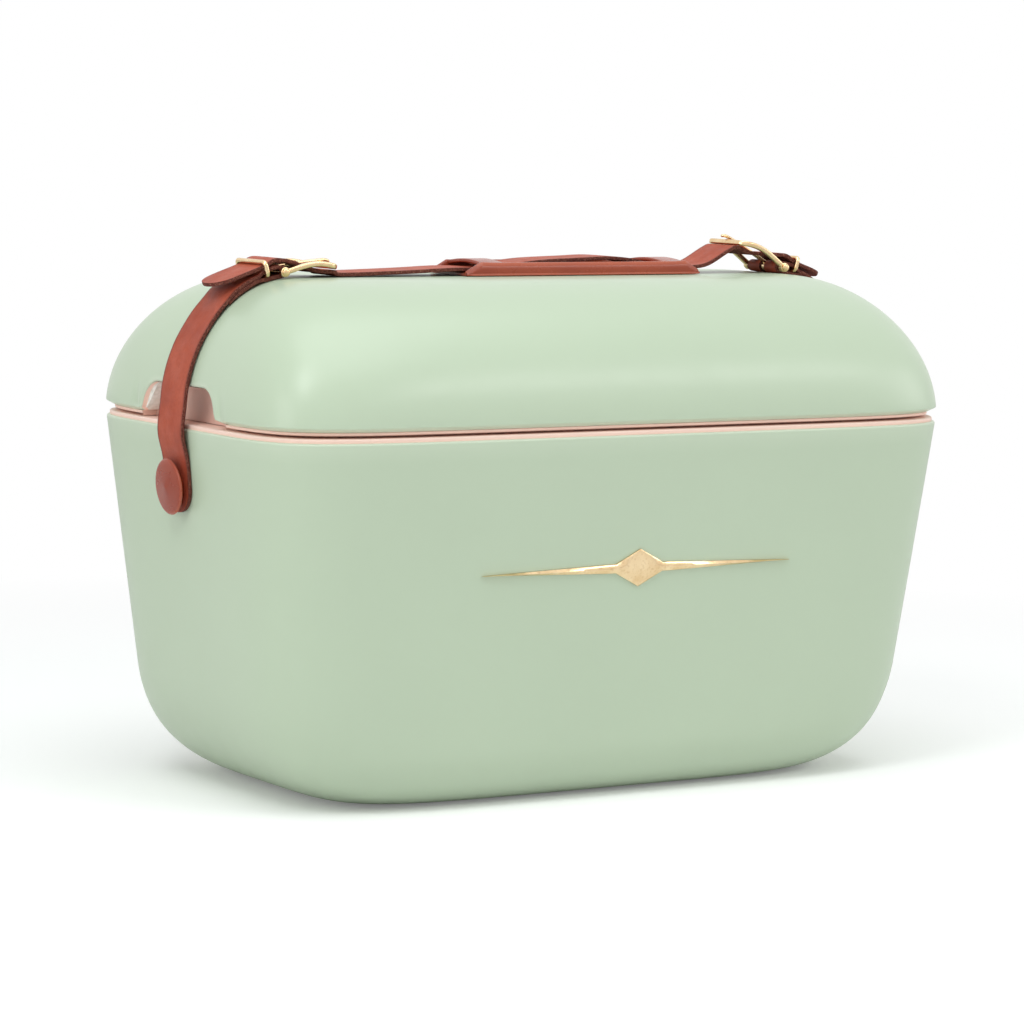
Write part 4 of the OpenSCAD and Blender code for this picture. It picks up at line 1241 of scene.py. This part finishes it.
def grip_floor():
    rings = []
    half, w = GRIP_LEN / 2 - 0.6, GRIP_W - 2.4
    for x in np.linspace(-half, half, 31):
        d = half - abs(x)
        t = 1.8 if d > 1 else 1.2 + 0.6 * d
        rings.append(np.array([(x, y, t / 2 + 0.02 + z) for y, z in rounded_rect(w, t, 0.4, 3)]))
    return capped(rings)


def grip():
    base = np.array([GRIP_X, 0, LID_TOP + SLACK])
    solids = [grip_floor(), grip_rim(-1), grip_rim(1), grip_bridge(-1), grip_bridge(1)]
    obj, *others = [make("grip_%d" % i, v + base, f, [brown], None) for i, (v, f) in enumerate(solids)]
    obj.name = "brown_grip"
    edited(obj, outwards)
    for other in others:
        edited(other, outwards)
        mod = obj.modifiers.new("union", "BOOLEAN")
        mod.object, mod.operation, mod.solver = other, "UNION", "EXACT"
        apply_modifiers(obj)
        bpy.data.objects.remove(other)
    obj.data.set_sharp_from_angle(angle=math.radians(40))
    out = GRIP_W / 2

    # painted highlight: paler on the rims' bevelled tops and along the lips at their feet
    def painted_edge_highlight(c):
        y, z = np.abs(c[:, 1]), c[:, 2] - base[2]
        top = share(z - GRIP_H + 1.9, 1.0) * share(y - out + 2.4, 1.0)
        foot = share(y - out - 0.05, 0.25)
        return 0.65 * np.maximum(top, foot)

    edge_attribute(obj, painted_edge_highlight)
    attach(obj, "grip")
    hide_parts("handle_grip")


grip()

for node, mat in (("tub_foam", foam), ("lid_foam", foam), ("stud_nuts", steel)):
    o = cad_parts[node]
    o.data.materials.clear()
    o.data.materials.append(mat)

# ---------- floor, world and lamps ----------

WORLD_LIGHT = 0.44                # of the world's white, what lights the box


def stage():
    """The white floor and the white world; both show lighter to the camera than they light the box."""
    far, z = 3000, -0.4
    corners = [(-far, -far, z), (far, -far, z), (far, far, z), (-far, far, z)]
    floor = make("floor", corners, [(0, 1, 2, 3)], [], None)
    m = bpy.data.materials.new("floor_white")
    t = Tree(m)
    t.tree.nodes.clear()
    white = (1, 1, 1, 1)
    camera = t.add("ShaderNodeLightPath").outputs["Is Camera Ray"]
    lift = t.add("ShaderNodeMath", {0: camera, 1: 0.16}, operation="MULTIPLY").outputs[0]
    matt = t.add("ShaderNodeBsdfDiffuse", {"Color": (0.94, 0.94, 0.94, 1)}).outputs[0]
    glow = t.add("ShaderNodeEmission", {"Color": white, "Strength": lift}).outputs[0]
    near = t.add("ShaderNodeAddShader", {0: matt, 1: glow}).outputs[0]
    # away from the box the floor turns into the white background, for the camera only
    place = t.add("ShaderNodeTexCoord").outputs["Object"]
    away = t.add("ShaderNodeVectorMath", {0: place}, operation="LENGTH").outputs["Value"]
    away = t.add("ShaderNodeMapRange", {"Value": away, "From Min": 0.42, "From Max": 0.8}).outputs[0]
    away = t.add("ShaderNodeMath", {0: away, 1: camera}, operation="MULTIPLY").outputs[0]
    blank = t.add("ShaderNodeEmission", {"Color": white}).outputs[0]
    mixed = t.add("ShaderNodeMixShader", {0: away, 1: near, 2: blank}).outputs[0]
    t.add("ShaderNodeOutputMaterial", {0: mixed})
    floor.data.materials.append(m)

    world = bpy.data.worlds.new("studio")
    bpy.context.scene.world = world
    t = Tree(world)
    rays = t.add("ShaderNodeLightPath").outputs
    seen = t.add("ShaderNodeMath", {0: rays["Is Camera Ray"], 1: rays["Is Glossy Ray"]}, operation="MAXIMUM")
    seen = t.add("ShaderNodeMath", {0: seen.outputs[0], 1: rays["Is Transmission Ray"]}, operation="MAXIMUM")
    level = t.add("ShaderNodeMapRange", {"Value": seen.outputs[0], "To Min": WORLD_LIGHT, "To Max": 1.0})
    t.feed(t.tree.nodes["Background"], {"Color": white, "Strength": level.outputs[0]})


def lamp(name, at, aim, size, power, size_y=None, colour=(1, 1, 1)):
    data = bpy.data.lights.new(name, "AREA")
    data.shape = "RECTANGLE"
    data.size, data.size_y = size, size_y or size
    data.energy, data.color = power, colour
    o = bpy.data.objects.new(name, data)
    bpy.context.scene.collection.objects.link(o)
    o.location = at
    o.rotation_euler = (Vector(aim) - Vector(at)).to_track_quat("-Z", "Y").to_euler()


stage()
lamp("key_top", (-0.1, -0.35, 1.7), (0, 0, 0.15), 1.6, 14.2, colour=(0.94, 1.0, 0.985))
lamp("front_long", (0.95, -1.40, 1.06), (0, -0.1, 0.18), 1.0, 3.9, 0.3)
lamp("left_spot", (-1.0, -0.65, 1.33), (-0.15, -0.08, 0.2), 0.45, 4.6, colour=(0.95, 1.0, 0.99))
lamp("left_soft", (-1.7, -0.3, 0.6), (-0.05, 0, 0.12), 0.9, 4.6)
lamp("right_soft", (1.6, -0.7, 0.55), (0.15, 0, 0.12), 0.7, 3.4)
